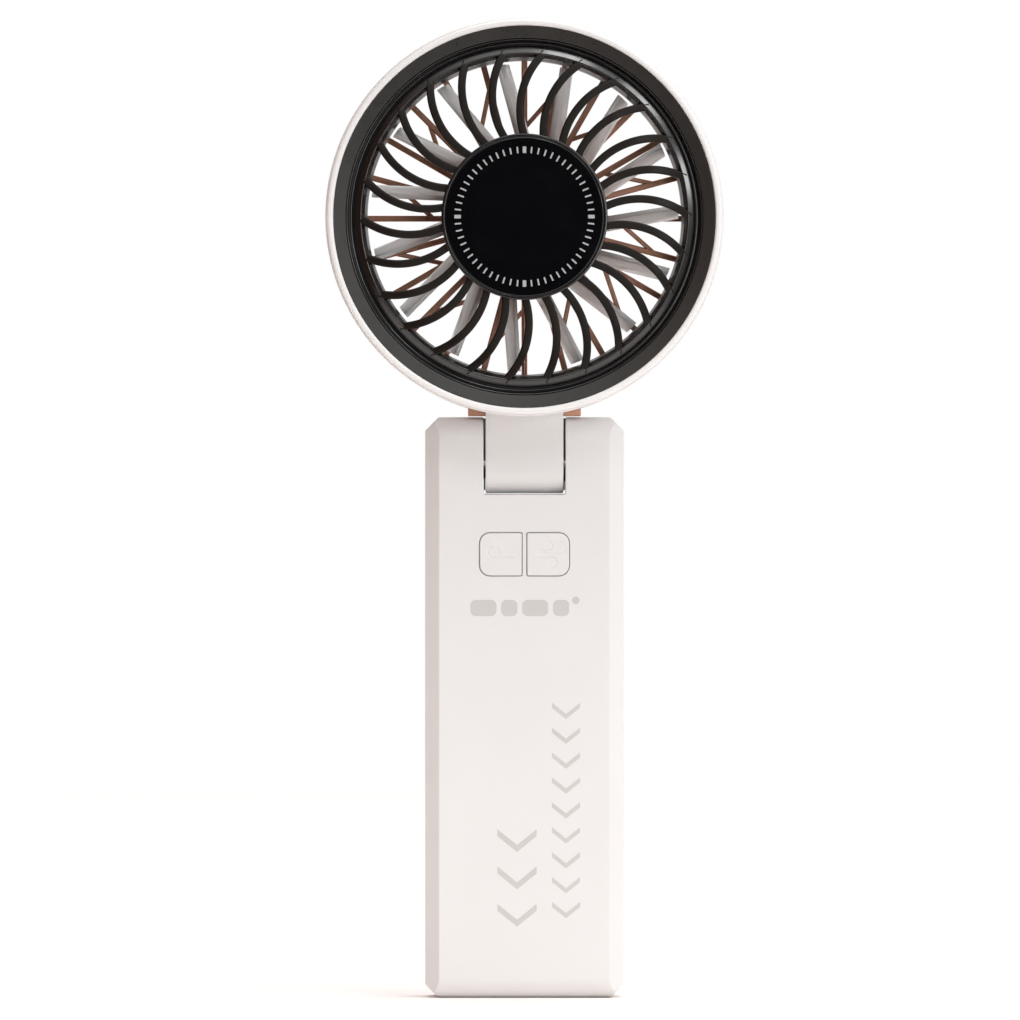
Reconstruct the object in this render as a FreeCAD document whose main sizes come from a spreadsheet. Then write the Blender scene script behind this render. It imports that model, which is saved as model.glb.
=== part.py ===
import FreeCAD, Part
import math
import os
import Sketcher
from types import SimpleNamespace

# Handheld folding fan, in millimetres. +Z is up, the front faces -Y and +X is to the right.
# The origin is the centre of the handle's flat base. The head folds backwards about a hinge
# along X, set towards the back of the notch in the top of the handle.

Vector = FreeCAD.Vector

# Driving dimensions. Depths along Y are signed, because the front is at negative Y.
DIMENSIONS = {
    "handle_width": 42.6,
    "handle_depth": 28.0,
    "handle_height": 124.5,
    "corner_cut": 2.9,
    "side_chamfer": 3.0,
    "edge_round": 4.2,
    "wall": 1.8,
    "seam": 0.3,
    "notch_half": 8.8,
    "notch_floor": 107.9,
    "notch_wall": 1.5,
    "nut_pocket": 3.6,
    "post_x": 15.0,
    "post_low": 8.0,
    "post_high": 100.0,
    "post_radius": 2.5,
    "screw_shank": 0.95,
    "screw_head": 1.9,
    "screw_sink": 1.6,
    "screw_tip": -6.0,
    "head_height": 1.2,
    "button_width": 9.0,
    "button_tall": 9.1,
    "button_gap": 1.15,
    "button_z": 95.1,
    "button_clearance": 0.2,
    "button_front": -14.35,
    "button_back": -11.6,
    "button_round": 2.2,
    "button_inner_round": 0.3,
    "button_edge": 0.25,
    "flange_reach": 0.8,
    "flange_thick": 0.5,
    "board_front": -9.4,
    "board_back": -8.4,
    "board_half": 18.6,
    "board_low": 3.0,
    "board_high": 104.0,
    "cell_radius": 9.175,
    "cell_x": 9.3,
    "cell_y": 2.6,
    "cell_low": 13.9,
    "cell_high": 78.1,
    "cell_nub": 0.8,
    "strip": 0.25,
    "socket_half": 4.47,
    "socket_tall": 3.26,
    "socket_deep": 7.3,
    "socket_mouth": 0.3,
    "socket_skin": 0.3,
    "socket_gap": 0.25,
    "arm_half": 8.35,
    "arm_wall": 1.5,
    "arm_front": -14.0,
    "arm_split": -11.4,
    "arm_back": 4.4,
    "arm_round": 5.0,
    "hinge_y": 9.5,
    "hinge_z": 112.75,
    "barrel_radius": 4.5,
    "boss_radius": 4.2,
    "boss_end": 14.0,
    "pin_radius": 1.5,
    "sleeve_radius": 2.0,
    "sleeve_bore": 1.25,
    "pin_start": 2.95,
    "pin_head_start": 2.0,
    "bush_start": 3.0,
    "left_bush": 2.6,
    "right_bush": 3.1,
    "washer_radius": 3.9,
    "cup_radius": 3.2,
    "cup_thick": 0.3,
    "cup_rise": 0.2,
    "running_fit": 0.05,
    "head_z": 167.3,
    "head_radius": 42.6,
    "shell_inner": 41.0,
    "shell_round": 1.2,
    "arm_boss": 40.2,
    "head_front": -25.6,
    "shell_front": -24.0,
    "head_back": 4.7,
    "rim_outer": 42.2,
    "rim_inner": 40.86,
    "bezel_inner": 38.2,
    "spigot": 0.66,
    "spigot_step": 0.2,
    "ring_inner": 36.4,
    "grille_back": -20.0,
    "hub_radius": 17.8,
    "hub_front": -24.2,
    "hub_back": -20.3,
    "hub_wall": 1.5,
    "hub_floor": 1.2,
    "lens_radius": 17.1,
    "rib_count": 26,
    "rib_width": 1.7,
    "rib_thick": 1.9,
    "rib_bend": 17.17,
    "rib_bend_x": 16.49,
    "rib_bend_z": 22.6,
    "dome_start": 28.0,
    "dome_drop": 2.0,
    "ring_rise": 0.7,
    "throat_radius": 33.64,
    "throat_y": -8.0,
    "duct_end": 1.2,
    "duct_wall": 1.2,
    "duct_flare": 2.2,
    "duct_flange": 1.1,
    "impeller_radius": 33.0,
    "impeller_hub": 15.5,
    "impeller_front": -19.5,
    "impeller_back": -5.5,
    "blade_count": 15,
    "blade_thick": 1.15,
    "blade_camber": 30.0,
    "blade_sweep": -5.7,
    "root_lean": 1.2,
    "tip_lean": 1.0,
    "hub_skin": 0.9,
    "bell_radius": 13.7,
    "magnet_outer": 12.7,
    "magnet_inner": 11.5,
    "stator_radius": 11.1,
    "stator_front": -10.5,
    "stator_back": -5.5,
    "slot_count": 9,
    "bearing_radius": 3.5,
    "tube_radius": 4.6,
    "tube_front": -15.8,
    "bearing_bore": 1.53,
    "shaft_radius": 1.5,
    "guard_front": 2.9,
    "guard_ring": 37.2,
    "guard_hub": 15.0,
    "guard_plate": 1.1,
    "spoke_count": 24,
    "spoke_width": 1.3,
    "guard_screw_ring": 39.0,
    "guard_post": 1.7,
    "guard_shank": 0.9,
    "guard_head": 1.8,
    "guard_sink": 1.2,
    "motor_screw_ring": 9.0,
    "motor_shank": 0.8,
    "motor_head": 1.65,
    "motor_sink": 0.7,
    "arm_screw_x": 5.0,
    "arm_screw_y": -8.0,
    "arm_shank": 1.0,
    "lead_hole": 1.2,
    "lead_y": -2.0,
    "collar_half": 12.1,
    "lead_radius": 0.6,
}

SPARE = 5.0  # how far a cutting tool runs past what it cuts
INSET_TO_CUT = 2.0 - math.sqrt(2.0)  # how fast a 45 degree corner cut shrinks with an inset
SIDES = (("left", -1), ("right", 1))
LENS_SEAT = 0.3  # height of the hub display's lens above the hub's rim
MODULE_BACK = 0.6  # depth behind the hub's rim at which the display module meets its board
TOOTH_HALF = 0.8  # half the width of a stator tooth
BEARING_LENGTH = 3.0
BLADES_TURNED = 1.25  # degrees clockwise from the front, at rest
GUARD_SCREWS = 4
FIRST_GUARD_SCREW = 45  # degrees clockwise from the top, from the front
MOTOR_SCREWS = 3
FIRST_MOTOR_SCREW = 60
FLAT = 0.05  # half the straight stretch left between two round ends
RECESS_DEEP = 0.6  # a screw's cross recess, as a share of its head's height
RECESS_LONG = 0.62  # and as shares of its head's radius
RECESS_WIDE = 0.16


class Size:
    """A length with its value now and the formula that binds it to the sheet."""

    def __init__(self, value, formula):
        self.value = value
        self.formula = formula

    def join(self, sign, other, value):
        return Size(value, "(" + self.formula + " " + sign + " " + other.formula + ")")

    def __add__(self, other):
        other = as_size(other)
        return self.join("+", other, self.value + other.value)

    def __sub__(self, other):
        other = as_size(other)
        return self.join("-", other, self.value - other.value)

    def __mul__(self, other):
        other = as_size(other)
        return self.join("*", other, self.value * other.value)

    def __truediv__(self, other):
        other = as_size(other)
        return self.join("/", other, self.value / other.value)

    def __radd__(self, other):
        return as_size(other) + self

    def __rsub__(self, other):
        return as_size(other) - self

    def __rmul__(self, other):
        return as_size(other) * self

    def __neg__(self):
        return as_size(0) - self


def as_size(item):
    if isinstance(item, Size):
        return item
    return Size(float(item), "(" + repr(float(item)) + ")")


def bind(target, name, item):
    target.setExpression(name, as_size(item).formula)


def make_sheet():
    sheet = doc.addObject("Spreadsheet::Sheet", "dims")
    sizes = SimpleNamespace()
    for row, (name, value) in enumerate(DIMENSIONS.items(), start=1):
        sheet.set("A" + str(row), name.replace("_", " "))
        sheet.set("B" + str(row), str(value))
        sheet.setAlias("B" + str(row), name)
        setattr(sizes, name, Size(float(value), "dims." + name))
    doc.recompute()
    return sizes


# ---- sketches -------------------------------------------------------------------------------

def arc_between(start, end, radius):
    """The arc from start to end with its centre on the left for a positive radius."""
    chord = end - start
    left = Vector(-chord.y, chord.x, 0).normalize()
    rise = math.sqrt(max(radius * radius - chord.Length * chord.Length / 4, 0.0))
    centre = (start + end) / 2 + left * math.copysign(rise, radius)
    circle = Part.Circle(centre, Vector(0, 0, 1), abs(radius))
    ends = (start, end) if radius > 0 else (end, start)
    return Part.ArcOfCircle(circle, circle.parameter(ends[0]), circle.parameter(ends[1]))


def draw_loop(sketch, corners):
    """Draw a closed outline. A corner is (x, y), or (x, y, radius) if an arc leaves it.

    A positive radius turns to the left on its way to the next corner."""
    places = [Vector(as_size(c[0]).value, as_size(c[1]).value, 0) for c in corners]
    edges = []
    for index, corner in enumerate(corners):
        start = places[index]
        end = places[(index + 1) % len(corners)]
        if len(corner) == 3:
            radius = as_size(corner[2])
            edge = sketch.addGeometry(arc_between(start, end, radius.value), False)
            tied = sketch.addConstraint(Sketcher.Constraint("Radius", edge, abs(radius.value)))
            sketch.setExpression("Constraints[%d]" % tied, "abs(" + radius.formula + ")")
            edges.append((edge, 1, 2) if radius.value > 0 else (edge, 2, 1))
        else:
            edges.append((sketch.addGeometry(Part.LineSegment(start, end), False), 1, 2))
    for index, (edge, first, last) in enumerate(edges):
        after = edges[(index + 1) % len(edges)]
        sketch.addConstraint(Sketcher.Constraint("Coincident", edge, last, after[0], after[1]))
        for kind, item in (("DistanceX", corners[index][0]), ("DistanceY", corners[index][1])):
            item = as_size(item)
            tied = sketch.addConstraint(Sketcher.Constraint(kind, -1, 1, edge, first, item.value))
            sketch.setExpression("Constraints[%d]" % tied, item.formula)


def draw_circle(sketch, x, y, radius):
    x, y, radius = as_size(x), as_size(y), as_size(radius)
    circle = Part.Circle(Vector(x.value, y.value, 0), Vector(0, 0, 1), radius.value)
    edge = sketch.addGeometry(circle, False)
    rules = (
        (Sketcher.Constraint("Radius", edge, radius.value), radius),
        (Sketcher.Constraint("DistanceX", -1, 1, edge, 3, x.value), x),
        (Sketcher.Constraint("DistanceY", -1, 1, edge, 3, y.value), y),
    )
    for rule, item in rules:
        tied = sketch.addConstraint(rule)
        sketch.setExpression("Constraints[%d]" % tied, item.formula)


def disc(x, y, radius):
    return {"circle": (x, y, radius)}


def rectangle(x_low, x_high, y_low, y_high):
    return [(x_low, y_low), (x_high, y_low), (x_high, y_high), (x_low, y_high)]


def rounded(x_low, x_high, y_low, y_high, radius):
    return [
        (x_low + radius, y_low),
        (x_high - radius, y_low, radius),
        (x_high, y_low + radius),
        (x_high, y_high - radius, radius),
        (x_high - radius, y_high),
        (x_low + radius, y_high, radius),
        (x_low, y_high - radius),
        (x_low, y_low + radius, radius),
    ]


def cut_cornered(half, low, high, cut):
    return [
        (cut - half, low),
        (half - cut, low),
        (half, low + cut),
        (half, high - cut),
        (half - cut, high),
        (cut - half, high),
        (-half, high - cut),
        (-half, low + cut),
    ]


# ---- part design bodies ---------------------------------------------------------------------

# For each origin plane: the sign of its normal along the body's axis.
NORMALS = {"XY_Plane": 1, "XZ_Plane": -1, "YZ_Plane": 1}


def new_body(name, on_head=False):
    body = doc.addObject("PartDesign::Body", name)
    body.Label = name
    if on_head:
        bind(body, "Placement.Base.z", dims.head_z)
    return body


def new_sketch(body, plane, offset, loops):
    sketch = body.newObject("Sketcher::SketchObject", body.Name + "_sketch")
    face = [item for item in body.Origin.OriginFeatures if item.Role == plane][0]
    sketch.AttachmentSupport = [(face, "")]
    sketch.MapMode = "FlatFace"
    bind(sketch, "AttachmentOffset.Base.z", as_size(offset) * NORMALS[plane])
    for loop in loops:
        if isinstance(loop, dict):
            draw_circle(sketch, *loop["circle"])
        else:
            draw_loop(sketch, loop)
    doc.recompute()
    return sketch


def add_prism(body, plane, low, high, *loops):
    """Add the outline pulled from low to high along the plane's axis."""
    start = low if NORMALS[plane] > 0 else high
    sketch = new_sketch(body, plane, start, loops)
    pad = body.newObject("PartDesign::Pad", body.Name + "_pad")
    pad.Profile = sketch
    bind(pad, "Length", as_size(high) - low)
    doc.recompute()
    return pad


def cut_prism(body, plane, low, high, *loops):
    """Cut the outline away between low and high, and make sure that it removes something."""
    start = high if NORMALS[plane] > 0 else low
    before = body.Shape.Volume
    sketch = new_sketch(body, plane, start, loops)
    pocket = body.newObject("PartDesign::Pocket", body.Name + "_pocket")
    pocket.Profile = sketch
    bind(pocket, "Length", as_size(high) - low)
    doc.recompute()
    if body.Shape.Volume >= before:
        raise RuntimeError(body.Name + ": a pocket cut nothing")
    return pocket


def turn(body, kind, loops):
    sketch = new_sketch(body, "YZ_Plane", 0, loops)
    feature = body.newObject("PartDesign::" + kind, body.Name + "_turned")
    feature.Profile = sketch
    feature.ReferenceAxis = (sketch, ["H_Axis"])
    feature.Angle = 360
    doc.recompute()
    return feature


def add_turned(body, *loops):
    """Turn outlines of (depth, radius) about the fan's axis."""
    return turn(body, "Revolution", loops)


def cut_turned(body, *loops):
    before = body.Shape.Volume
    feature = turn(body, "Groove", loops)
    if body.Shape.Volume >= before:
        raise RuntimeError(body.Name + ": a groove cut nothing")
    return feature


def repeat_round(body, feature, count):
    """Repeat a feature evenly about the fan's axis."""
    sketch = new_sketch(body, "XZ_Plane", 0, [])
    pattern = body.newObject("PartDesign::PolarPattern", body.Name + "_pattern")
    pattern.Originals = [feature]
    pattern.Axis = (sketch, ["N_Axis"])
    pattern.Angle = 360
    bind(pattern, "Occurrences", count)
    body.Tip = pattern
    doc.recompute()
    return pattern


def round_edges(body, feature, radius, wanted):
    """Round the edges of the feature's shape for which wanted(edge) is true."""
    names = ["Edge%d" % n for n, edge in enumerate(feature.Shape.Edges, start=1) if wanted(edge)]
    fillet = body.newObject("PartDesign::Fillet", body.Name + "_fillet")
    fillet.Base = (feature, names)
    bind(fillet, "Radius", radius)
    doc.recompute()
    return fillet


# ---- part primitives and booleans -----------------------------------------------------------

def new_box(name, low, high):
    box = doc.addObject("Part::Box", name)
    sides = (("Length", "x"), ("Width", "y"), ("Height", "z"))
    for index, (side, axis) in enumerate(sides):
        bind(box, side, as_size(high[index]) - low[index])
        bind(box, "Placement.Base." + axis, low[index])
    return box


TURNS = {
    "x": FreeCAD.Rotation(Vector(0, 1, 0), 90),
    "y": FreeCAD.Rotation(Vector(1, 0, 0), -90),
    "z": FreeCAD.Rotation(),
}


def new_cylinder(name, axis, centre, low, high, radius):
    """A cylinder along an axis, with its centre given on the other two axes in X, Y, Z order."""
    cylinder = doc.addObject("Part::Cylinder", name)
    cylinder.Placement = FreeCAD.Placement(Vector(), TURNS[axis])
    spot = list(centre)
    spot.insert("xyz".index(axis), low)
    for letter, item in zip("xyz", spot):
        bind(cylinder, "Placement.Base." + letter, item)
    bind(cylinder, "Radius", radius)
    bind(cylinder, "Height", as_size(high) - low)
    return cylinder


def combine(kind, name, pieces):
    joined = doc.addObject("Part::" + kind, name)
    joined.Label = name
    if kind == "Compound":
        joined.Links = pieces
    else:
        joined.Shapes = pieces
    doc.recompute()
    return joined


def fuse(name, *pieces):
    return combine("MultiFuse", name, list(pieces))


def common(name, *pieces):
    return combine("MultiCommon", name, list(pieces))


def group(name, pieces):
    return combine("Compound", name, list(pieces))


def cut(name, base, tool):
    result = doc.addObject("Part::Cut", name)
    result.Label = name
    result.Base = base
    result.Tool = tool
    doc.recompute()
    return result


def ring(name, axis, centre, low, high, outer, inner):
    """A plain tube or washer."""
    solid = new_cylinder(name + "_outer", axis, centre, low, high, outer)
    hole = new_cylinder(name + "_hole", axis, centre, low - SPARE, high + SPARE, inner)
    return cut(name, solid, hole)


def screw(name, axis, centre, seat, head_height, head_radius, tip, radius):
    """A pan-head screw with a cross recess. Its head stands on seat, away from the tip."""
    way = 1 if as_size(seat).value > as_size(tip).value else -1
    top = seat + way * head_height
    low, high = (seat, top) if way > 0 else (top, seat)
    head = new_cylinder(name + "_head", axis, centre, low, high, head_radius)
    low, high = (tip, seat) if way > 0 else (seat, tip)
    shank = new_cylinder(name + "_shank", axis, centre, low, high, radius)
    blank = fuse(name + "_blank", head, shank)
    floor = top - way * head_height * RECESS_DEEP
    lows, highs = (floor, top + 1) if way > 0 else (top - 1, floor)
    slots = []
    for long_way in (0, 1):
        reach = [head_radius * RECESS_LONG, head_radius * RECESS_WIDE]
        if long_way:
            reach.reverse()
        low_corner = [centre[0] - reach[0], centre[1] - reach[1]]
        high_corner = [centre[0] + reach[0], centre[1] + reach[1]]
        low_corner.insert("xyz".index(axis), lows)
        high_corner.insert("xyz".index(axis), highs)
        slots.append(new_box(name + "_slot%d" % long_way, low_corner, high_corner))
    return cut(name, blank, fuse(name + "_cross", *slots))


def bent_tube(name, points, radius, bends):
    """A round lead along straight runs, with an arc of its own bend radius at each corner."""
    places = [Vector(*[as_size(value).value for value in point]) for point in points]
    edges = []
    start = places[0]
    for corner, before, after, bend in zip(places[1:-1], places, places[2:], bends):
        back = (before - corner).normalize()
        ahead = (after - corner).normalize()
        half = back.getAngle(ahead) / 2
        trim = bend / math.tan(half)
        first = corner + back * trim
        last = corner + ahead * trim
        middle = (back + ahead).normalize()
        crest = corner + middle * (bend / math.sin(half) - bend)
        edges.append(Part.LineSegment(start, first).toShape())
        edges.append(Part.Arc(first, crest, last).toShape())
        start = last
    edges.append(Part.LineSegment(start, places[-1]).toShape())
    way = (places[1] - places[0]).normalize()
    profile = Part.Wire([Part.Circle(places[0], way, radius.value).toShape()])
    lead = doc.addObject("Part::Feature", name)
    lead.Label = name
    lead.Shape = Part.Wire(edges).makePipeShell([profile], True, False)
    doc.recompute()
    return lead


# ---- handle casing --------------------------------------------------------------------------

def handle_block(name, inset):
    """The handle's outer form moved in by inset: cut corners, chamfered sides, rounded ends."""
    half_width = dims.handle_width / 2 - inset
    half_depth = dims.handle_depth / 2 - inset
    low = as_size(inset)
    high = dims.handle_height - inset
    corner = dims.corner_cut - INSET_TO_CUT * low
    chamfer = dims.side_chamfer - INSET_TO_CUT * low
    bend = dims.edge_round - low
    far = dims.handle_width
    body = new_body(name)
    add_prism(body, "XZ_Plane", -half_depth, half_depth, cut_cornered(half_width, low, high, corner))
    around = rectangle(-far, far, -far, far)
    plan = cut_cornered(half_width, -half_depth, half_depth, chamfer)
    cut_prism(body, "XY_Plane", -SPARE, dims.handle_height + SPARE, around, plan)
    beside = rectangle(-far, far, -SPARE, dims.handle_height + SPARE)
    profile = rounded(-half_depth, half_depth, low, high, bend)
    cut_prism(body, "YZ_Plane", -far, far, beside, profile)
    return body


def casing_tools():
    """What both casing halves are cut from and with."""
    far = dims.handle_width
    tools = SimpleNamespace()
    tools.outer = handle_block("block_outer", 0)
    inner = handle_block("block_inner", dims.wall)
    lined = dims.notch_half + dims.notch_wall
    floor = dims.notch_floor - dims.wall
    liner = new_box("notch_liner", (-lined, -far, floor), (lined, far, dims.handle_height + SPARE))
    tools.hollow = cut("casing_hollow", inner, liner)
    top = dims.handle_height + SPARE
    tools.notch = new_box("notch", (-dims.notch_half, -far, dims.notch_floor), (dims.notch_half, far, top))
    return tools


def button_outline(side, grow):
    inner = (dims.button_gap / 2 - grow) * side
    outer = (dims.button_gap / 2 + dims.button_width + grow) * side
    low = dims.button_z - dims.button_tall / 2 - grow
    high = dims.button_z + dims.button_tall / 2 + grow
    large = dims.button_round + grow
    small = dims.button_inner_round + grow
    return [
        (inner + small * side, low),
        (outer - large * side, low, large * side),
        (outer, low + large),
        (outer, high - large, large * side),
        (outer - large * side, high),
        (inner + small * side, high, small * side),
        (inner, high - small),
        (inner, low + small, small * side),
    ]


def post_places():
    for side in (-1, 1):
        for height in (dims.post_low, dims.post_high):
            yield dims.post_x * side, height


def front_shell(tools):
    far = dims.handle_width
    front_half = new_box("front_slab", (-far, -far, -SPARE), (far, 0, dims.handle_height + SPARE))
    blank = common("front_blank", tools.outer, front_half)
    openings = [tools.hollow, tools.notch]
    for name, side in SIDES:
        window = new_body(name + "_button_window")
        edge = button_outline(side, dims.button_clearance)
        add_prism(window, "XZ_Plane", -far, dims.board_front, edge)
        openings.append(window)
    slot = new_body("socket_window")
    middle = dims.board_back + dims.socket_tall / 2
    half = dims.socket_half + dims.socket_gap
    tall = dims.socket_tall / 2 + dims.socket_gap
    outline = rounded(-half, half, middle - tall, middle + tall, tall - FLAT)
    add_prism(slot, "XY_Plane", -SPARE, dims.wall * 1.25, outline)
    openings.append(slot)
    shell = cut("front_open", blank, fuse("front_openings", *openings))
    posts = []
    bores = []
    front = dims.wall / 2 - dims.handle_depth / 2
    bore_end = dims.screw_tip - 1
    for index, place in enumerate(post_places()):
        posts.append(new_cylinder("front_post%d" % index, "y", place, front, 0, dims.post_radius))
        bores.append(new_cylinder("front_bore%d" % index, "y", place, bore_end, SPARE, dims.screw_shank))
    solid = fuse("front_solid", shell, *posts)
    return cut("front_shell", solid, fuse("front_bores", *bores))


def hinge_place():
    return dims.hinge_y, dims.hinge_z


def rear_shell(tools):
    far = dims.handle_width
    back = dims.handle_depth / 2
    rear_half = new_box("rear_slab", (-far, 0, -SPARE), (far, far, dims.handle_height + SPARE))
    blank = common("rear_blank", tools.outer, rear_half)
    rim = cut("seam_rim", tools.outer, handle_block("block_seam", dims.seam))
    band = new_box("seam_band", (-far, -SPARE, -SPARE), (far, dims.seam, dims.handle_height + SPARE))
    seam = common("seam_groove", rim, band)
    shell = cut("rear_open", blank, fuse("rear_openings", tools.hollow, tools.notch, seam))
    extras = []
    bores = []
    seat = back - dims.screw_sink
    post_end = back - dims.wall / 2
    shank = dims.screw_shank + 0.15
    head = dims.screw_head + 0.2
    for index, place in enumerate(post_places()):
        extras.append(new_cylinder("rear_post%d" % index, "y", place, 0, post_end, dims.post_radius))
        bores.append(new_cylinder("rear_bore%d" % index, "y", place, -SPARE, back, shank))
        bores.append(new_cylinder("rear_sink%d" % index, "y", place, seat, back + SPARE, head))
    start = dims.notch_half + dims.notch_wall / 2
    pocket_end = dims.boss_end + 4
    for name, side in SIDES:
        reach = (start, dims.boss_end) if side > 0 else (-dims.boss_end, -start)
        extras.append(new_cylinder(name + "_boss", "x", hinge_place(), *reach, dims.boss_radius))
        radius = (dims.pin_radius if side < 0 else dims.sleeve_radius) + dims.running_fit
        reach = (0, pocket_end) if side > 0 else (-pocket_end, 0)
        bores.append(new_cylinder(name + "_hinge_bore", "x", hinge_place(), *reach, radius))
        reach = (dims.boss_end, pocket_end) if side > 0 else (-pocket_end, -dims.boss_end)
        bores.append(new_cylinder(name + "_nut_pocket", "x", hinge_place(), *reach, dims.nut_pocket))
    solid = fuse("rear_solid", shell, *extras)
    return cut("rear_shell", solid, fuse("rear_bores", *bores))


def handle_screws():
    seat = dims.handle_depth / 2 - dims.screw_sink
    head = (dims.head_height, dims.screw_head)
    shank = (dims.screw_tip, dims.screw_shank)
    pieces = []
    for index, place in enumerate(post_places()):
        pieces.append(screw("handle_screw%d" % index, "y", place, seat, *head, *shank))
    return group("handle_screws", pieces)


# ---- buttons and switches -------------------------------------------------------------------

def button(name, side):
    body = new_body(name + "_button")
    cap = add_prism(body, "XZ_Plane", dims.button_front, dims.button_back, button_outline(side, 0))
    front = dims.button_front.value

    def on_front(edge):
        return abs(edge.BoundBox.YMin - front) < 0.01 and abs(edge.BoundBox.YMax - front) < 0.01

    round_edges(body, cap, dims.button_edge, on_front)
    inner = dims.button_gap / 2 * side
    outer = (dims.button_gap / 2 + dims.button_width + dims.flange_reach) * side
    reach = dims.button_tall / 2 + dims.flange_reach
    sides = (inner, outer) if side > 0 else (outer, inner)
    flange = rectangle(*sides, dims.button_z - reach, dims.button_z + reach)
    add_prism(body, "XZ_Plane", dims.button_back - dims.flange_thick, dims.button_back, flange)
    return body


def button_centre(side):
    return (dims.button_gap + dims.button_width) / 2 * side, dims.button_z


def plunger(name, side):
    length, radius = 1.3, 1.1
    low, high = dims.button_back, dims.button_back + length
    piece = new_cylinder(name + "_plunger", "y", button_centre(side), low, high, radius)
    piece.Label = name + "_plunger"
    return piece


def switch(name, side):
    x, z = button_centre(side)
    half, tall = 2.25, 1.6
    well_deep, well_radius = 1.2, 1.18
    front = dims.board_front - tall
    body = new_body(name + "_switch")
    add_prism(body, "XZ_Plane", front, dims.board_front, rectangle(x - half, x + half, z - half, z + half))
    cut_prism(body, "XZ_Plane", front, front + well_deep, disc(x, z, well_radius))
    return body


# ---- power and electronics ------------------------------------------------------------------

def battery_cell(name, side):
    x, y = dims.cell_x * side, dims.cell_y
    nub_radius, crimp_deep, crimp_wide, crimp_down = 3.0, 0.3, 0.6, 2.6
    body = new_body(name)
    low, high = dims.cell_low, dims.cell_high
    crimp = high - crimp_down
    add_prism(body, "XY_Plane", low, high, disc(x, y, dims.cell_radius))
    add_prism(body, "XY_Plane", high, high + dims.cell_nub, disc(x, y, nub_radius))
    groove = (disc(x, y, dims.cell_radius + 1), disc(x, y, dims.cell_radius - crimp_deep))
    cut_prism(body, "XY_Plane", crimp - crimp_wide, crimp, *groove)
    return body


def cell_links():
    low = dims.cell_low
    top = dims.cell_high + dims.cell_nub
    half_wide, long_half, short_half = 3.5, 13.0, 5.3
    near, far = dims.cell_y - half_wide, dims.cell_y + half_wide
    pieces = [new_box("link_low", (-long_half, near, low - dims.strip), (long_half, far, low))]
    for name, side in SIDES:
        x = dims.cell_x * side
        corners = (x - short_half, near, top), (x + short_half, far, top + dims.strip)
        pieces.append(new_box("link_" + name, *corners))
    return group("cell_links", pieces)


def battery_cradle():
    half, web_thick, end_thick, lead_opening = 18.0, 1.0, 2.0, 1.4
    front, back = dims.board_back + 0.4, 8.0
    low = dims.cell_low - dims.strip
    top = dims.cell_high + dims.cell_nub + dims.strip
    body = new_body("battery_cradle")
    web = rectangle(front, front + web_thick, low - end_thick, top + end_thick)
    add_prism(body, "YZ_Plane", -half, half, web)
    add_prism(body, "YZ_Plane", -half, half, rectangle(front, back, low - end_thick, low))
    add_prism(body, "YZ_Plane", -half, half, rectangle(front, back, top, top + end_thick))
    holes = [disc(dims.cell_x * side, dims.cell_y, lead_opening) for name, side in SIDES]
    cut_prism(body, "XY_Plane", top - 1, top + end_thick + 1, *holes)
    return body


def battery_leads():
    rise, bend = 6.85, 3.0
    top = dims.cell_high + dims.cell_nub + dims.strip
    leads = []
    for name, side in SIDES:
        x = dims.cell_x * side
        points = [(x, dims.cell_y, top), (x, dims.cell_y, top + rise), (x, dims.board_back, top + rise)]
        leads.append(bent_tube("battery_lead_" + name, points, dims.lead_radius, [bend]))
    return group("battery_leads", leads)


def main_board():
    corner, clearance = 1.5, 0.2
    body = new_body("main_board")
    outline = cut_cornered(dims.board_half, dims.board_low, dims.board_high, corner)
    holes = [disc(x, z, dims.post_radius + clearance) for x, z in post_places()]
    add_prism(body, "XZ_Plane", dims.board_front, dims.board_back, outline, *holes)
    return body


def charge_socket():
    """The socket's steel shell with its tongue. Its mouth faces down, just inside the base."""
    half, tall, skin = dims.socket_half, dims.socket_tall, dims.socket_skin
    low, high = dims.board_back, dims.board_back + dims.socket_tall
    mouth, end = dims.socket_mouth, dims.socket_mouth + dims.socket_deep
    tongue_half, tongue_thick, tongue_in, floor = 3.35, 0.7, 1.2, 1.0
    body = new_body("charge_socket")
    add_prism(body, "XY_Plane", mouth, end, rounded(-half, half, low, high, tall / 2 - FLAT))
    hollow = rounded(skin - half, half - skin, low + skin, high - skin, tall / 2 - skin - FLAT)
    cut_prism(body, "XY_Plane", mouth, end - floor, hollow)
    tongue_low = (low + high - tongue_thick) / 2
    tongue = rectangle(-tongue_half, tongue_half, tongue_low, tongue_low + tongue_thick)
    add_prism(body, "XY_Plane", mouth + tongue_in, end - floor / 2, tongue)
    return body


def board_box(name, x, z, wide, tall, proud):
    front = dims.board_front
    return new_box(name, (x - wide / 2, front - proud, z - tall / 2), (x + wide / 2, front, z + tall / 2))


def controller_chip():
    return board_box("controller_chip", x=-8.0, z=60.0, wide=5.0, tall=5.0, proud=0.9)


def power_inductor():
    x, z, half, corner, tall = 8.0, 62.0, 3.0, 1.2, 2.2
    dish_radius, dish_deep = 2.1, 0.3
    body = new_body("power_inductor")
    front = dims.board_front - tall
    outline = rounded(x - half, x + half, z - half, z + half, corner)
    add_prism(body, "XZ_Plane", front, dims.board_front, outline)
    cut_prism(body, "XZ_Plane", front, front + dish_deep, disc(x, z, dish_radius))
    return body


def board_capacitors():
    count, first, pitch = 6, -12.0, 3.0
    pieces = []
    for index in range(count):
        x = first + pitch * index
        pieces.append(board_box("capacitor%d" % index, x, z=50.0, wide=1.6, tall=0.9, proud=0.9))
    return group("board_capacitors", pieces)


def motor_connector():
    x, z, half, tall = 6.0, 93.0, 2.0, 3.0
    back = dims.board_back
    body = new_body("motor_connector")
    add_prism(body, "XZ_Plane", back, back + tall, rectangle(x - half, x + half, z - half, z + half))
    return body


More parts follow.
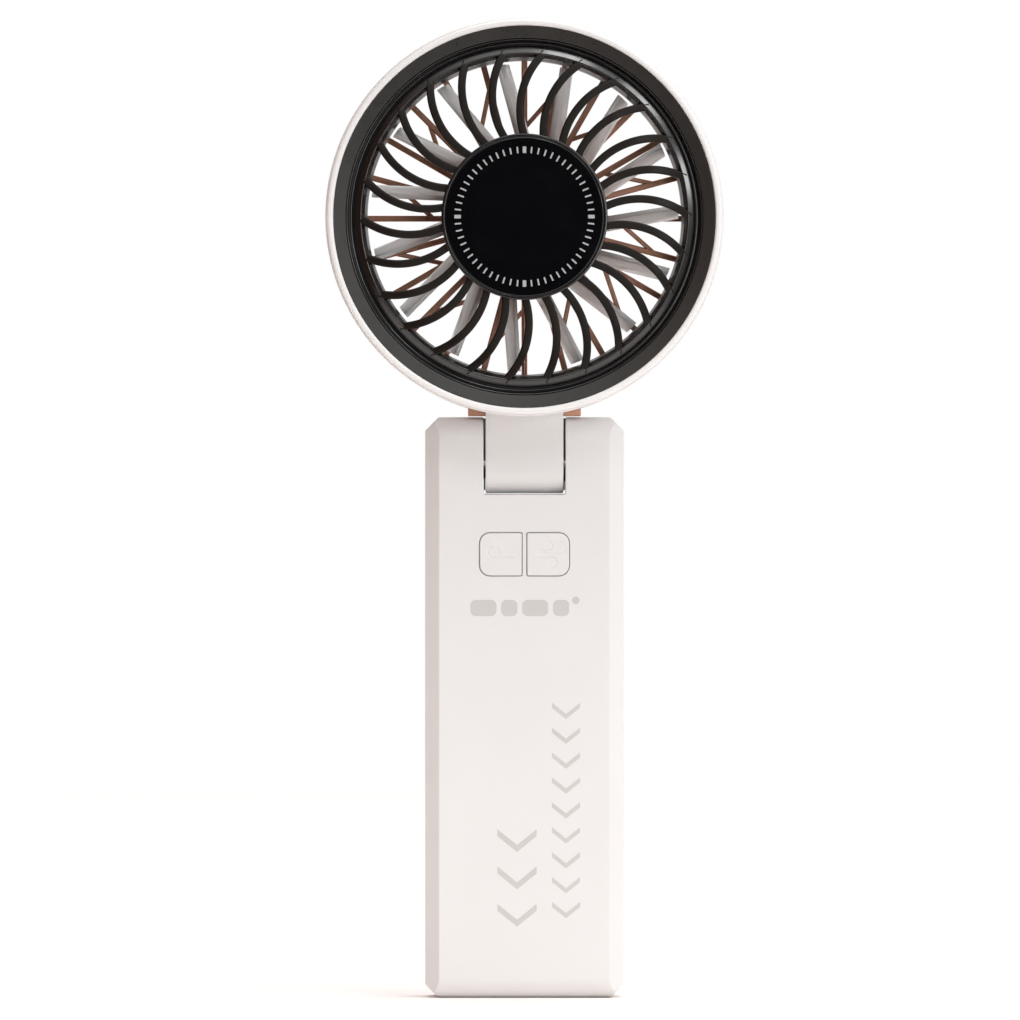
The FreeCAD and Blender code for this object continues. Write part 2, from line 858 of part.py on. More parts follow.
def handle_lead():
    y, z = hinge_place()
    points = [
        (6.0, dims.board_back + 3, 93.0),
        (6.0, 4.0, 93.0),
        (10.5, 6.5, 104.2),
        (18.2, y, 105.6),
        (18.2, y, z),
        (8.9, y, z),
    ]
    return bent_tube("handle_lead", points, dims.lead_radius, [2.5, 2.0, 1.6, 1.3])


# ---- hinge ----------------------------------------------------------------------------------

def hinge_pin():
    """Solid pin: its head is inside the arm's barrel, and its thread takes the nut."""
    tip, head_radius = -17.2, 2.4
    seat = -dims.pin_start
    shank = new_cylinder("pin_shank", "x", hinge_place(), tip, seat, dims.pin_radius)
    head = new_cylinder("pin_head", "x", hinge_place(), seat, -dims.pin_head_start, head_radius)
    return fuse("hinge_pin", shank, head)


def hinge_sleeve():
    """Hollow pin that the motor lead runs through."""
    tip, flange_radius = 16.8, 2.7
    seat = dims.pin_start
    shank = new_cylinder("sleeve_shank", "x", hinge_place(), seat, tip, dims.sleeve_radius)
    flange = new_cylinder("sleeve_flange", "x", hinge_place(), dims.pin_head_start, seat, flange_radius)
    bore = new_cylinder("sleeve_hole", "x", hinge_place(), 0, tip + SPARE, dims.sleeve_bore)
    return cut("hinge_sleeve", fuse("sleeve_blank", shank, flange), bore)


def hinge_bushes():
    """Bushes in the arm's barrel, with running room for the pin and the sleeve."""
    fit = dims.running_fit
    start, end = dims.bush_start, dims.arm_half - fit
    left = ring("bush_left", "x", hinge_place(), -end, -start, dims.left_bush, dims.pin_radius + fit)
    right = ring("bush_right", "x", hinge_place(), start, end, dims.right_bush, dims.sleeve_radius + fit)
    return group("hinge_bushes", [left, right])


def friction_washers():
    slack = (dims.notch_half - dims.arm_half) / 6
    low, high = dims.arm_half + slack, dims.notch_half - slack
    outer = dims.washer_radius
    left = ring("washer_left", "x", hinge_place(), -high, -low, outer, dims.pin_radius)
    right = ring("washer_right", "x", hinge_place(), low, high, outer, dims.sleeve_radius)
    return group("friction_washers", [left, right])


def cupped_washer(name, side, start, bore):
    """A coned spring washer: a thin ring that rises towards its bore."""
    y, z = hinge_place()
    thick, rise, outer = dims.cup_thick, dims.cup_rise, dims.cup_radius
    outline = [(bore, start), (bore, start + thick), (outer, start + rise + thick), (outer, start + rise)]
    body = new_body(name)
    profile = new_sketch(body, "XZ_Plane", 0, [outline])
    feature = body.newObject("PartDesign::Revolution", name + "_turned")
    feature.Profile = profile
    feature.ReferenceAxis = (profile, ["V_Axis"])
    feature.Angle = 360
    body.Placement = FreeCAD.Placement(Vector(), FreeCAD.Rotation(Vector(0, 1, 0), 90 * side))
    bind(body, "Placement.Base.y", y)
    bind(body, "Placement.Base.z", z)
    doc.recompute()
    return body


def hinge_springs():
    pieces = []
    for name, side in SIDES:
        bore = dims.pin_radius if side < 0 else dims.sleeve_radius
        for index in range(2):
            start = dims.boss_end + dims.cup_thick * index
            pieces.append(cupped_washer("cup_%s%d" % (name, index), side, start, bore))
    return group("hinge_springs", pieces)


def hinge_nuts():
    pieces = []
    thick, left_radius, right_radius = 1.7, 3.0, 3.4
    start = dims.boss_end + dims.cup_thick * 2 + dims.cup_rise
    for name, side in SIDES:
        radius = left_radius if side < 0 else right_radius
        bore = dims.pin_radius if side < 0 else dims.sleeve_radius
        corners = []
        for step in range(6):
            across, up = polar(radius, 30 + 60 * step)
            corners.append((dims.hinge_y + across, dims.hinge_z + up))
        corners.reverse()
        low, high = (start, start + thick) if side > 0 else (-start - thick, -start)
        nut = new_body("nut_" + name)
        add_prism(nut, "YZ_Plane", low, high, corners, disc(dims.hinge_y, dims.hinge_z, bore))
        pieces.append(nut)
    return group("hinge_nuts", pieces)


# ---- arm ------------------------------------------------------------------------------------

def arm_blank(name):
    """The whole arm, with its top cut to the head's round underside."""
    front, back = dims.arm_front, dims.arm_back
    base = dims.hinge_z - dims.barrel_radius - dims.head_z
    axis = dims.hinge_z - dims.head_z
    crown = axis + dims.barrel_radius
    roof = 10 - dims.head_radius
    barrel = dims.barrel_radius
    inside_corner = as_size(1)
    outline = [
        (front, base + dims.arm_round, dims.arm_round),
        (front + dims.arm_round, base),
        (dims.hinge_y, base, barrel),
        (dims.hinge_y + barrel, axis, barrel),
        (dims.hinge_y, crown),
        (back + inside_corner, crown, -inside_corner),
        (back, crown + inside_corner),
        (back, roof),
        (front, roof),
    ]
    body = new_body(name, on_head=True)
    add_prism(body, "YZ_Plane", -dims.arm_half, dims.arm_half, outline)
    cut_turned(body, under_head())
    return body


def under_head():
    """Outline of everything inside the head's outer radius."""
    far = dims.handle_width
    return rectangle(-far, far, 0, dims.head_radius)


def beyond_arm():
    """Outline of the whole arm's front view, with room to spare."""
    far = dims.handle_width
    return rectangle(-far, far, -far * 2, 0)


def arm_screw_places():
    for side in (-1, 1):
        yield dims.arm_screw_x * side, dims.arm_screw_y


def arm_body():
    axis = dims.hinge_z - dims.head_z
    floor = axis - dims.barrel_radius + dims.arm_wall
    ceiling = dims.handle_height - 2.2 - dims.head_z
    inside = dims.arm_half - dims.arm_wall
    barrel_hollow, post_radius, post_length = 3.0, 2.1, 5.0
    end = dims.arm_half + 1
    body = arm_blank("arm_body")
    cut_prism(body, "XZ_Plane", dims.arm_front - 1, dims.arm_split, beyond_arm())
    cavity = rectangle(dims.arm_split - 1, dims.arm_back - dims.arm_wall, floor, ceiling)
    cut_prism(body, "YZ_Plane", -inside, inside, cavity)
    low, high = axis - barrel_hollow, axis + barrel_hollow
    passage = rectangle(dims.arm_back - dims.arm_wall - 1, dims.hinge_y, low, high)
    cut_prism(body, "YZ_Plane", -barrel_hollow, barrel_hollow, passage)
    cut_prism(body, "YZ_Plane", -dims.bush_start - FLAT, end, disc(dims.hinge_y, axis, dims.right_bush))
    cut_prism(body, "YZ_Plane", -end, -dims.bush_start, disc(dims.hinge_y, axis, dims.left_bush))
    for place in arm_screw_places():
        add_prism(body, "XY_Plane", ceiling - post_length, ceiling + 0.5, disc(*place, post_radius))
    bores = [disc(*place, dims.arm_shank) for place in arm_screw_places()]
    lead_hole = disc(0, dims.lead_y, dims.lead_hole)
    cut_prism(body, "XY_Plane", ceiling - post_length - 1, -30, *bores, lead_hole)
    return body


def arm_cover():
    body = arm_blank("arm_cover")
    cut_prism(body, "XZ_Plane", dims.arm_split, dims.handle_depth, beyond_arm())
    return body


def neck_gussets():
    """Wedges beside the arm that fill the crescent between the handle's top and the head."""
    front, back, clearance, tall = -12, 4, 0.25, 3
    bottom = dims.handle_height + clearance - dims.head_z
    body = new_body("neck_gussets", on_head=True)
    for side in (-1, 1):
        inner, outer = dims.arm_half * side, dims.collar_half * side
        x_low, x_high = (inner, outer) if side > 0 else (outer, inner)
        add_prism(body, "XZ_Plane", front, back, rectangle(x_low, x_high, bottom, bottom + tall))
    cut_turned(body, under_head())
    return body


def arm_screws():
    seat = dims.head_z - dims.arm_boss
    head = (dims.head_height, dims.screw_head)
    shank = (seat - 7.5, dims.arm_shank)
    pieces = []
    for index, place in enumerate(arm_screw_places()):
        pieces.append(screw("arm_screw%d" % index, "z", place, seat, *head, *shank))
    return group("arm_screws", pieces)


# ---- head casing ----------------------------------------------------------------------------

def polar(radius, degrees):
    """A point on the head's face: degrees clockwise from the top, seen from the front."""
    angle = math.radians(degrees)
    return radius * math.sin(angle), radius * math.cos(angle)


def guard_screw_places():
    for step in range(GUARD_SCREWS):
        yield polar(dims.guard_screw_ring, FIRST_GUARD_SCREW + 360 / GUARD_SCREWS * step)


def guard_post_web():
    """Outline of the web that joins the first screw post to the shell's wall."""
    half = dims.guard_post * 0.7
    near, far = dims.guard_screw_ring, dims.shell_inner + 0.5
    out = polar(1, FIRST_GUARD_SCREW)
    beside = polar(1, FIRST_GUARD_SCREW + 90)
    corners = []
    for reach, side in ((near, half), (near, -half), (far, -half), (far, half)):
        corners.append((reach * out[0] + side * beside[0], reach * out[1] + side * beside[1]))
    return corners


def head_shell():
    front, back = dims.shell_front, dims.head_back
    outer, inner = dims.head_radius, dims.shell_inner
    soft = dims.shell_round
    edge = outer - dims.rim_outer
    post_front, boss_radius = -6, 2.3
    body = new_body("head_shell", on_head=True)
    outline = [
        (front, inner),
        (back, inner),
        (back, outer - soft, soft),
        (back - soft, outer),
        (front + edge, outer, edge),
        (front, outer - edge),
    ]
    add_turned(body, outline)
    web = add_prism(body, "XZ_Plane", post_front, dims.guard_front, guard_post_web())
    repeat_round(body, web, GUARD_SCREWS)
    for place in guard_screw_places():
        add_prism(body, "XZ_Plane", post_front, dims.guard_front, disc(*place, dims.guard_post))
    for place in arm_screw_places():
        add_prism(body, "XY_Plane", -inner - 0.5, -dims.arm_boss, disc(*place, boss_radius))
    for place in guard_screw_places():
        low, high = post_front + 0.5, dims.guard_front + 1
        cut_prism(body, "XZ_Plane", low, high, disc(*place, dims.guard_shank))
    bores = [disc(*place, dims.arm_shank + 0.1) for place in arm_screw_places()]
    lead_hole = disc(0, dims.lead_y, dims.lead_hole)
    cut_prism(body, "XY_Plane", -outer - 1, -dims.arm_boss + 2, *bores, lead_hole)
    return body


def front_ring():
    """White trim ring in the mouth of the head shell."""
    front, step = dims.head_front, dims.shell_front
    outer, inner = dims.rim_outer, dims.rim_inner
    soft = as_size(0.5)
    outline = [
        (front + soft, inner),
        (step - dims.spigot_step, inner),
        (step - dims.spigot_step, inner - dims.spigot),
        (dims.grille_back, inner - dims.spigot),
        (dims.grille_back, dims.shell_inner),
        (step, dims.shell_inner),
        (step, outer),
        (front + soft, outer, soft),
        (front, outer - soft),
        (front, inner + soft, soft),
    ]
    body = new_body("front_ring", on_head=True)
    add_turned(body, outline)
    return body


def front_bezel():
    inner, outer = dims.bezel_inner, dims.rim_inner
    step = dims.shell_front - dims.spigot_step
    low, high, bevel = dims.head_front + 0.5, dims.head_front + 0.3, 0.15
    outline = [
        (low, inner + bevel),
        (low + bevel, inner),
        (dims.grille_back, inner),
        (dims.grille_back, outer - dims.spigot),
        (step, outer - dims.spigot),
        (step, outer),
        (high, outer),
    ]
    outline.reverse()
    body = new_body("front_bezel", on_head=True)
    add_turned(body, outline)
    return body


def sweep_radius(run, drop):
    """Radius of the arc that leaves level and drops by drop over run."""
    return (run * run + drop * drop) / (drop * 2)


def front_grille():
    """Hub cup, ribs and outer ring in one moulding: a domed plate with curved windows."""
    front, back = dims.hub_front, dims.hub_back
    rib_back = front + dims.rib_thick
    drop = dims.dome_drop
    bend = sweep_radius(dims.ring_inner - dims.dome_start, drop)
    recess = dims.hub_radius - dims.hub_wall
    floor = back - dims.hub_floor
    outline = [
        (back, as_size(0)),
        (back, dims.hub_radius),
        (rib_back, dims.hub_radius),
        (rib_back, dims.dome_start, -bend),
        (rib_back + drop, dims.ring_inner),
        (dims.grille_back, dims.ring_inner),
        (dims.grille_back, dims.bezel_inner),
        (front - dims.ring_rise, dims.bezel_inner),
        (front + drop, dims.ring_inner, bend),
        (front, dims.dome_start),
        (front, recess),
        (floor, recess),
        (floor, as_size(0)),
    ]
    body = new_body("front_grille", on_head=True)
    add_turned(body, outline)
    window = cut_window(body)
    repeat_round(body, window, dims.rib_count)
    return body


def window_corner(radius, side_bend, turned):
    """Where a rib's edge meets a circle about the fan's axis, turned clockwise by degrees."""
    x, z = dims.rib_bend_x.value, dims.rib_bend_z.value
    away = math.hypot(x, z)
    spread = math.acos((radius ** 2 + away ** 2 - side_bend ** 2) / (2 * radius * away))
    angle = math.atan2(z, x) + spread - math.radians(turned)
    return Vector(radius * math.cos(angle), radius * math.sin(angle), 0)


def cut_window(body):
    """Cut the gap between two neighbouring ribs, bounded by four arcs."""
    pitch = 360 / dims.rib_count.value
    near = dims.rib_bend - dims.rib_width / 2
    far = dims.rib_bend + dims.rib_width / 2
    small, large = dims.hub_radius, dims.ring_inner
    corners = [
        window_corner(small.value, near.value, 0),
        window_corner(large.value, near.value, 0),
        window_corner(large.value, far.value, pitch),
        window_corner(small.value, far.value, pitch),
    ]
    cosine, sine = math.cos(math.radians(pitch)), math.sin(math.radians(pitch))
    first_centre = (dims.rib_bend_x, dims.rib_bend_z)
    next_centre = (
        dims.rib_bend_x * cosine + dims.rib_bend_z * sine,
        dims.rib_bend_z * cosine - dims.rib_bend_x * sine,
    )
    axis = (as_size(0), as_size(0))
    sides = [(-near, first_centre), (-large, axis), (far, next_centre), (small, axis)]
    sketch = new_sketch(body, "XZ_Plane", dims.head_front, [])
    edges = []
    for index, (bend, centre) in enumerate(sides):
        arc = arc_between(corners[index], corners[(index + 1) % 4], bend.value)
        edge = sketch.addGeometry(arc, False)
        edges.append((edge, 1, 2) if bend.value > 0 else (edge, 2, 1))
        tied = sketch.addConstraint(Sketcher.Constraint("Radius", edge, abs(bend.value)))
        sketch.setExpression("Constraints[%d]" % tied, "abs(" + bend.formula + ")")
        for kind, item in (("DistanceX", centre[0]), ("DistanceY", centre[1])):
            tied = sketch.addConstraint(Sketcher.Constraint(kind, -1, 1, edge, 3, item.value))
            sketch.setExpression("Constraints[%d]" % tied, item.formula)
    for index, (edge, first, last) in enumerate(edges):
        after = edges[(index + 1) % 4]
        sketch.addConstraint(Sketcher.Constraint("Coincident", edge, last, after[0], after[1]))
    before = body.Shape.Volume
    pocket = body.newObject("PartDesign::Pocket", "front_grille_window")
    pocket.Profile = sketch
    bind(pocket, "Length", dims.grille_back - dims.head_front)
    doc.recompute()
    if body.Shape.Volume >= before:
        raise RuntimeError("front_grille: the window cut nothing")
    return pocket


def duct():
    """Shroud that narrows to a throat round the impeller, and flares to the rear."""
    front, throat_y, end = dims.grille_back, dims.throat_y, dims.duct_end
    mouth, throat = dims.ring_inner, dims.throat_radius
    wall = dims.duct_wall
    tail = throat + dims.duct_flare
    flange = front + dims.duct_flange
    outline = [
        (front, mouth, sweep_radius(throat_y - front, mouth - throat)),
        (throat_y, throat, sweep_radius(end - throat_y, tail - throat)),
        (end, tail),
        (end, tail + 1, -sweep_radius(end - throat_y, tail + 1 - throat - wall)),
        (throat_y, throat + wall, -sweep_radius(throat_y - flange, mouth + 1 - throat - wall)),
        (flange, mouth + 1),
        (flange, dims.shell_inner),
        (front, dims.shell_inner),
    ]
    body = new_body("duct", on_head=True)
    add_turned(body, outline)
    return body


def rear_guard():
    """Intake guard: outer ring, hub plate, spokes and short struts between the spokes."""
    front, back = dims.guard_front, dims.head_back
    plate = back - dims.guard_plate
    strut_half, strut_inner, strut_outer = 0.5, 19.5, 29.0
    pitch = 360 / dims.spoke_count.value
    body = new_body("rear_guard", on_head=True)
    add_turned(body, rectangle(plate, back, 0, dims.guard_hub))
    half = dims.spoke_width / 2
    spoke_front = front + 0.3
    spoke = rectangle(-half, half, dims.guard_hub - 1, dims.guard_ring + 1)
    pad = add_prism(body, "XZ_Plane", spoke_front, back, spoke)
    repeat_round(body, pad, dims.spoke_count)
    add_turned(body, rectangle(front, back, dims.guard_ring, dims.shell_inner))
    start = Vector(*polar(strut_inner, 0), 0)
    end = Vector(*polar(strut_outer, pitch), 0)
    along = (end - start).normalize()
    beside = Vector(-along.y, along.x, 0) * strut_half
    strut = [(spot.x, spot.y) for spot in (start - beside, end - beside, end + beside, start + beside)]
    pad = add_prism(body, "XZ_Plane", spoke_front + 0.2, back - 0.2, strut)
    repeat_round(body, pad, dims.spoke_count / 2)
    shank_gap, head_gap = 0.05, 0.1
    for places, bottom, shank, head, sink in (
        (guard_screw_places(), front, dims.guard_shank, dims.guard_head, dims.guard_sink),
        (motor_screw_places(), plate, dims.motor_shank, dims.motor_head, dims.motor_sink),
    ):
        for place in places:
            cut_prism(body, "XZ_Plane", bottom, back + 1, disc(*place, shank + shank_gap))
            cut_prism(body, "XZ_Plane", back - sink, back + 1, disc(*place, head + head_gap))
    return body


def guard_screws():
    seat = dims.head_back - dims.guard_sink
    head = (dims.guard_sink - 0.1, dims.guard_head)
    shank = (-5, dims.guard_shank)
    pieces = []
    for index, (x, z) in enumerate(guard_screw_places()):
        pieces.append(screw("guard_screw%d" % index, "y", (x, z + dims.head_z), seat, *head, *shank))
    return group("guard_screws", pieces)


# ---- hub display ----------------------------------------------------------------------------

def display_ring():
    front, back = dims.hub_front - 1, dims.hub_front
    outer, lens = dims.hub_radius, dims.lens_radius
    recess = outer - dims.hub_wall
    soft = as_size(0.25)
    outline = [
        (front, lens),
        (back - LENS_SEAT, lens),
        (back - LENS_SEAT, recess),
        (back, recess),
        (back, outer),
        (front + soft, outer, soft),
        (front, outer - soft),
    ]
    body = new_body("display_ring", on_head=True)
    add_turned(body, outline)
    return body


def display_lens():
    front, back = dims.hub_front - 1.1, dims.hub_front - LENS_SEAT
    soft = as_size(0.3)
    outline = [
        (front, as_size(0)),
        (back, as_size(0)),
        (back, dims.lens_radius),
        (front + soft, dims.lens_radius, soft),
        (front, dims.lens_radius - soft),
    ]
    body = new_body("display_lens", on_head=True)
    add_turned(body, outline)
    return body


def display_board():
    thick, clearance = 1.0, 0.2
    front = dims.hub_front + MODULE_BACK
    radius = dims.hub_radius - dims.hub_wall - clearance
    body = new_body("display_board", on_head=True)
    add_turned(body, rectangle(front, front + thick, 0, radius))
    return body


def display_module():
    thick, half_wide, half_tall = 0.8, 7.0, 4.5
    back = dims.hub_front + MODULE_BACK
    body = new_body("display_module", on_head=True)
    add_prism(body, "XZ_Plane", back - thick, back, rectangle(-half_wide, half_wide, -half_tall, half_tall))
    return body


# ---- motor ----------------------------------------------------------------------------------

def motor_screw_places():
    for step in range(MOTOR_SCREWS):
        yield polar(dims.motor_screw_ring, FIRST_MOTOR_SCREW + 360 / MOTOR_SCREWS * step)


def motor_base():
    """Bearing tube and the flange that is screwed to the rear guard's hub plate."""
    plate = dims.head_back - dims.guard_plate
    flange = plate - 0.9
    outline = [
        (dims.tube_front, dims.bearing_radius),
        (plate, dims.bearing_radius),
        (plate, dims.guard_hub - 1),
        (flange, dims.guard_hub - 1),
        (flange, dims.tube_radius),
        (dims.tube_front, dims.tube_radius),
    ]
    body = new_body("motor_base", on_head=True)
    add_turned(body, outline)
    for place in motor_screw_places():
        cut_prism(body, "XZ_Plane", flange - 1, plate + 1, disc(*place, dims.motor_shank))
    return body


def motor_screws():
    seat = dims.head_back - dims.motor_sink
    head = (dims.motor_sink - 0.1, dims.motor_head)
    shank = (seat - 1.2, dims.motor_shank)
    pieces = []
    for index, (x, z) in enumerate(motor_screw_places()):
        pieces.append(screw("motor_screw%d" % index, "y", (x, z + dims.head_z), seat, *head, *shank))
    return group("motor_screws", pieces)


def motor_board():
    front, back, clearance, outer = 0.45, 1.45, 0.6, 12.5
    body = new_body("motor_board", on_head=True)
    add_turned(body, rectangle(front, back, dims.tube_radius + clearance, outer))
    return body


def stator_core():
    """Laminated core: a ring with a tooth and a pole shoe for each slot."""
    core, shoe, half = 6.2, 10.0, TOOTH_HALF
    body = new_body("stator_core", on_head=True)
    add_turned(body, rectangle(dims.stator_front, dims.stator_back, dims.tube_radius, core))
    edge, reach = polar(shoe, 14)
    tip, crest = polar(dims.stator_radius.value, 15)
    tooth = [
        (half, core - 0.5),
        (half, shoe - 0.2),
        (edge, reach),
        (tip, crest, dims.stator_radius),
        (-tip, crest),
        (-edge, reach),
        (-half, shoe - 0.2),
        (-half, core - 0.5),
    ]
    pad = add_prism(body, "XZ_Plane", dims.stator_front, dims.stator_back, tooth)
    repeat_round(body, pad, dims.slot_count)
    return body


def stator_windings():
    """One copper coil round each tooth."""
    body = new_body("stator_windings", on_head=True)
    half, over, soft, low, high = 1.7, 1.4, 0.8, 6.4, 9.3
    outside = rounded(-half, half, dims.stator_front - over, dims.stator_back + over, soft)
    tooth = rectangle(-TOOTH_HALF, TOOTH_HALF, dims.stator_front, dims.stator_back)
    pad = add_prism(body, "XY_Plane", low, high, outside, tooth)
    repeat_round(body, pad, dims.slot_count)
    return body


def bearing(name, front):
    """A small ball bearing as one ring, with shallow recesses for its shields."""
    back = front + BEARING_LENGTH
    bore, outer = dims.bearing_bore, dims.bearing_radius
    race, recess = 0.5, 0.2
    outline = [
        (front, bore),
        (back, bore),
        (back, bore + race),
        (back - recess, bore + race),
        (back - recess, outer - race),
        (back, outer - race),
        (back, outer),
        (front, outer),
        (front, outer - race),
        (front + recess, outer - race),
        (front + recess, bore + race),
        (front, bore + race),
    ]
    body = new_body(name, on_head=True)
    add_turned(body, outline)
    return body


def rotor_bell():
    front, back = dims.impeller_front + dims.hub_skin, -3.2
    boss_radius, boss_length, skin = as_size(3.2), 2.4, dims.bell_radius - dims.magnet_outer
    outline = [
        (front, dims.shaft_radius),
        (front + boss_length, dims.shaft_radius),
        (front + boss_length, boss_radius),
        (front + skin, boss_radius),
        (front + skin, dims.magnet_outer),
        (back, dims.magnet_outer),
        (back, dims.bell_radius),
        (front, dims.bell_radius),
    ]
    body = new_body("rotor_bell", on_head=True)
    add_turned(body, outline)
    return body


def rotor_magnets():
    front, back = -12.5, -3.6
    body = new_body("rotor_magnets", on_head=True)
    add_turned(body, rectangle(front, back, dims.magnet_inner, dims.magnet_outer))
    return body


def motor_shaft():
    start, end, soft = dims.impeller_front + dims.hub_skin, as_size(2.9), 0.3
    outline = [
        (start, as_size(0)),
        (end, as_size(0)),
        (end, dims.shaft_radius - soft),
        (end - soft, dims.shaft_radius),
        (start, dims.shaft_radius),
    ]
    body = new_body("motor_shaft", on_head=True)
    add_turned(body, outline)
    return body


def shaft_clip():
    front, back, outer = 2.1, 2.55, 2.9
    body = new_body("shaft_clip", on_head=True)
    add_turned(body, rectangle(front, back, dims.shaft_radius, outer))
    return body


# ---- impeller -------------------------------------------------------------------------------

def blade_section(middle, lean):
    """A cambered blade section: x across the blade, y from its front edge to its rear edge."""
    half = dims.blade_thick / 2
    front, back = dims.impeller_front + dims.hub_skin, dims.impeller_back - 1
    camber = dims.blade_camber
    return [
        (middle - lean - half, front),
        (middle - lean + half, front, camber),
        (middle + lean + half, back),
        (middle + lean - half, back, -camber),
    ]


def impeller():
    front, back = dims.impeller_front, dims.impeller_back
    hub, bell = dims.impeller_hub, dims.bell_radius
    soft = as_size(2.5)
    outline = [
        (front, as_size(0)),
        (front + dims.hub_skin, as_size(0)),
        (front + dims.hub_skin, bell),
        (back, bell),
        (back, hub),
        (front + soft, hub, soft),
        (front, hub - soft),
    ]
    body = new_body("impeller", on_head=True)
    add_turned(body, outline)
    root_outline = blade_section(as_size(0), dims.root_lean)
    tip_outline = blade_section(dims.blade_sweep, dims.tip_lean)
    root = new_sketch(body, "XY_Plane", hub - 1, [root_outline])
    tip = new_sketch(body, "XY_Plane", dims.impeller_radius + 0.2, [tip_outline])
    blade = body.newObject("PartDesign::AdditiveLoft", "impeller_blade")
    blade.Profile = root
    blade.Sections = [tip]
    doc.recompute()
    repeat_round(body, blade, dims.blade_count)
    beyond_tips = rectangle(front - SPARE, back + SPARE, dims.impeller_radius, dims.head_radius)
    cut_turned(body, beyond_tips)
    body.Placement = FreeCAD.Placement(Vector(), FreeCAD.Rotation(Vector(0, 1, 0), BLADES_TURNED))
    bind(body, "Placement.Base.z", dims.head_z)
    doc.recompute()
    return body


def head_lead():
    """Lead from the hinge's axis up the arm, round the duct's rear edge to the motor board."""
    y, z = hinge_place()
    channel = dims.head_z - 39.6
    points = [
        (8.6, y, z),
        (0, y, z),
        (0, dims.lead_y, z),
        (0, dims.lead_y, channel),
        (0, 2.05, channel),
        (0, 2.05, dims.head_z - 9),
    ]
    return bent_tube("head_lead", points, dims.lead_radius, [2.5, 3.0, 1.6, 1.6])


# ---- assembly -------------------------------------------------------------------------------

def build_parts():
    tools = casing_tools()
    parts = [front_shell(tools), rear_shell(tools), handle_screws()]
    for name, side in SIDES:
        parts += [button(name, side), plunger(name, side), switch(name, side)]
        parts.append(battery_cell("battery_cell_" + name, side))
    parts += [cell_links(), battery_cradle(), battery_leads()]
    parts += [main_board(), charge_socket(), controller_chip(), power_inductor()]
    parts += [board_capacitors(), motor_connector(), handle_lead()]
    parts += [hinge_pin(), hinge_sleeve(), hinge_bushes(), friction_washers()]
    parts += [hinge_springs(), hinge_nuts()]
    parts += [arm_body(), arm_cover(), neck_gussets(), arm_screws()]
    parts += [head_shell(), front_ring(), front_bezel(), front_grille(), duct()]
    parts += [rear_guard(), guard_screws()]
    parts += [display_ring(), display_lens(), display_board(), display_module()]
    parts += [motor_base(), motor_screws(), motor_board(), stator_core(), stator_windings()]
    parts += [bearing("front_bearing", dims.tube_front + 0.4), bearing("rear_bearing", as_size(-1))]
    parts += [rotor_bell(), rotor_magnets(), motor_shaft(), shaft_clip()]
    parts += [impeller(), head_lead()]
    return parts


def check(parts):
    doc.recompute()
    for item in doc.Objects:
        if "Invalid" in item.State or "Error" in item.State:
            raise RuntimeError(item.Name + " failed: " + str(item.State))
    for part in parts:
        if part.Shape.isNull() or not part.Shape.isValid() or not part.Shape.Solids:
            raise RuntimeError(part.Label + " has no valid solid")


def export(parts):
    os.makedirs("parts", exist_ok=True)
    for part in parts:
        part.Shape.exportStep("parts/" + part.Label + ".step")
        print("%-20s %2d solids %10.1f mm3" % (part.Label, len(part.Shape.Solids), part.Shape.Volume))


doc = FreeCAD.newDocument("folding_fan")
dims = make_sheet()
finished = build_parts()
check(finished)
export(finished)
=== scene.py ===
"""Looks of a handheld folding fan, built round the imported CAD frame.

Shapes are written in millimetres and turned into metres where their meshes are made.
+Z is up, the front faces -Y, and +X is to the right.
"""

from math import atan2, copysign, cos, hypot, pi, radians, sin, sqrt, tan, tau

import bmesh
import bpy
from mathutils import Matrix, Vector


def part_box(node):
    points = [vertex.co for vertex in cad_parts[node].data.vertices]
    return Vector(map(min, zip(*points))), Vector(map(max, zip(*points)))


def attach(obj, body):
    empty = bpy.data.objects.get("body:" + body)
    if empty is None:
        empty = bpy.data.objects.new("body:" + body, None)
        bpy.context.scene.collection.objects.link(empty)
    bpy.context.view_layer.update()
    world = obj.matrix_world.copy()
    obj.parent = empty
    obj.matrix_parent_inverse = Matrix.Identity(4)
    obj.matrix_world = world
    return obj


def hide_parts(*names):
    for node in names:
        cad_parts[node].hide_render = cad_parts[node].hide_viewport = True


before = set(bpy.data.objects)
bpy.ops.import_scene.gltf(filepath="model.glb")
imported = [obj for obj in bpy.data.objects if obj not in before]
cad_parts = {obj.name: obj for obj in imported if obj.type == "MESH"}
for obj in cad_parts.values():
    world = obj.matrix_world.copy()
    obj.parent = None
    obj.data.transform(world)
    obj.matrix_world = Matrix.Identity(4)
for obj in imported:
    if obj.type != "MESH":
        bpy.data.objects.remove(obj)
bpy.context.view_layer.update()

MM = 0.001
AROUND, ROD_AROUND = 192, 48  # facets round a turned piece and round a thin one
ARC_STEPS = 6  # facets in a rounded corner
RIM_STEPS = 4  # facets across a soft rim
SHARP = radians(32)  # edges that bend more than this are drawn sharp
MERGE = 1e-7  # metres
SLIVER = 1e-6  # metres: corners nearer than this after a cut are one
FLAT = 0.0005  # radians that a flat face may bend by
PAST = 1.0  # how far cutters and joined parts run past a face
FIT_GAP = 0.02  # between pieces that are fitted together
PROUD = 0.02  # how far a print stands out


# ---- sizes, read from the frame

def span(node):
    """Lowest and highest corner of a CAD node, in millimetres."""
    low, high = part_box(node)
    return low / MM, high / MM


front_low, front_high = span("front_shell")
HALF_WIDTH = front_high.x
HALF_DEPTH = -front_low.y
HEIGHT = front_high.z

head_low, head_high = span("head_shell")
HEAD_Z = (head_low.z + head_high.z) / 2
HEAD_RADIUS = head_high.x
SHELL_FRONT, HEAD_BACK = head_low.y, head_high.y

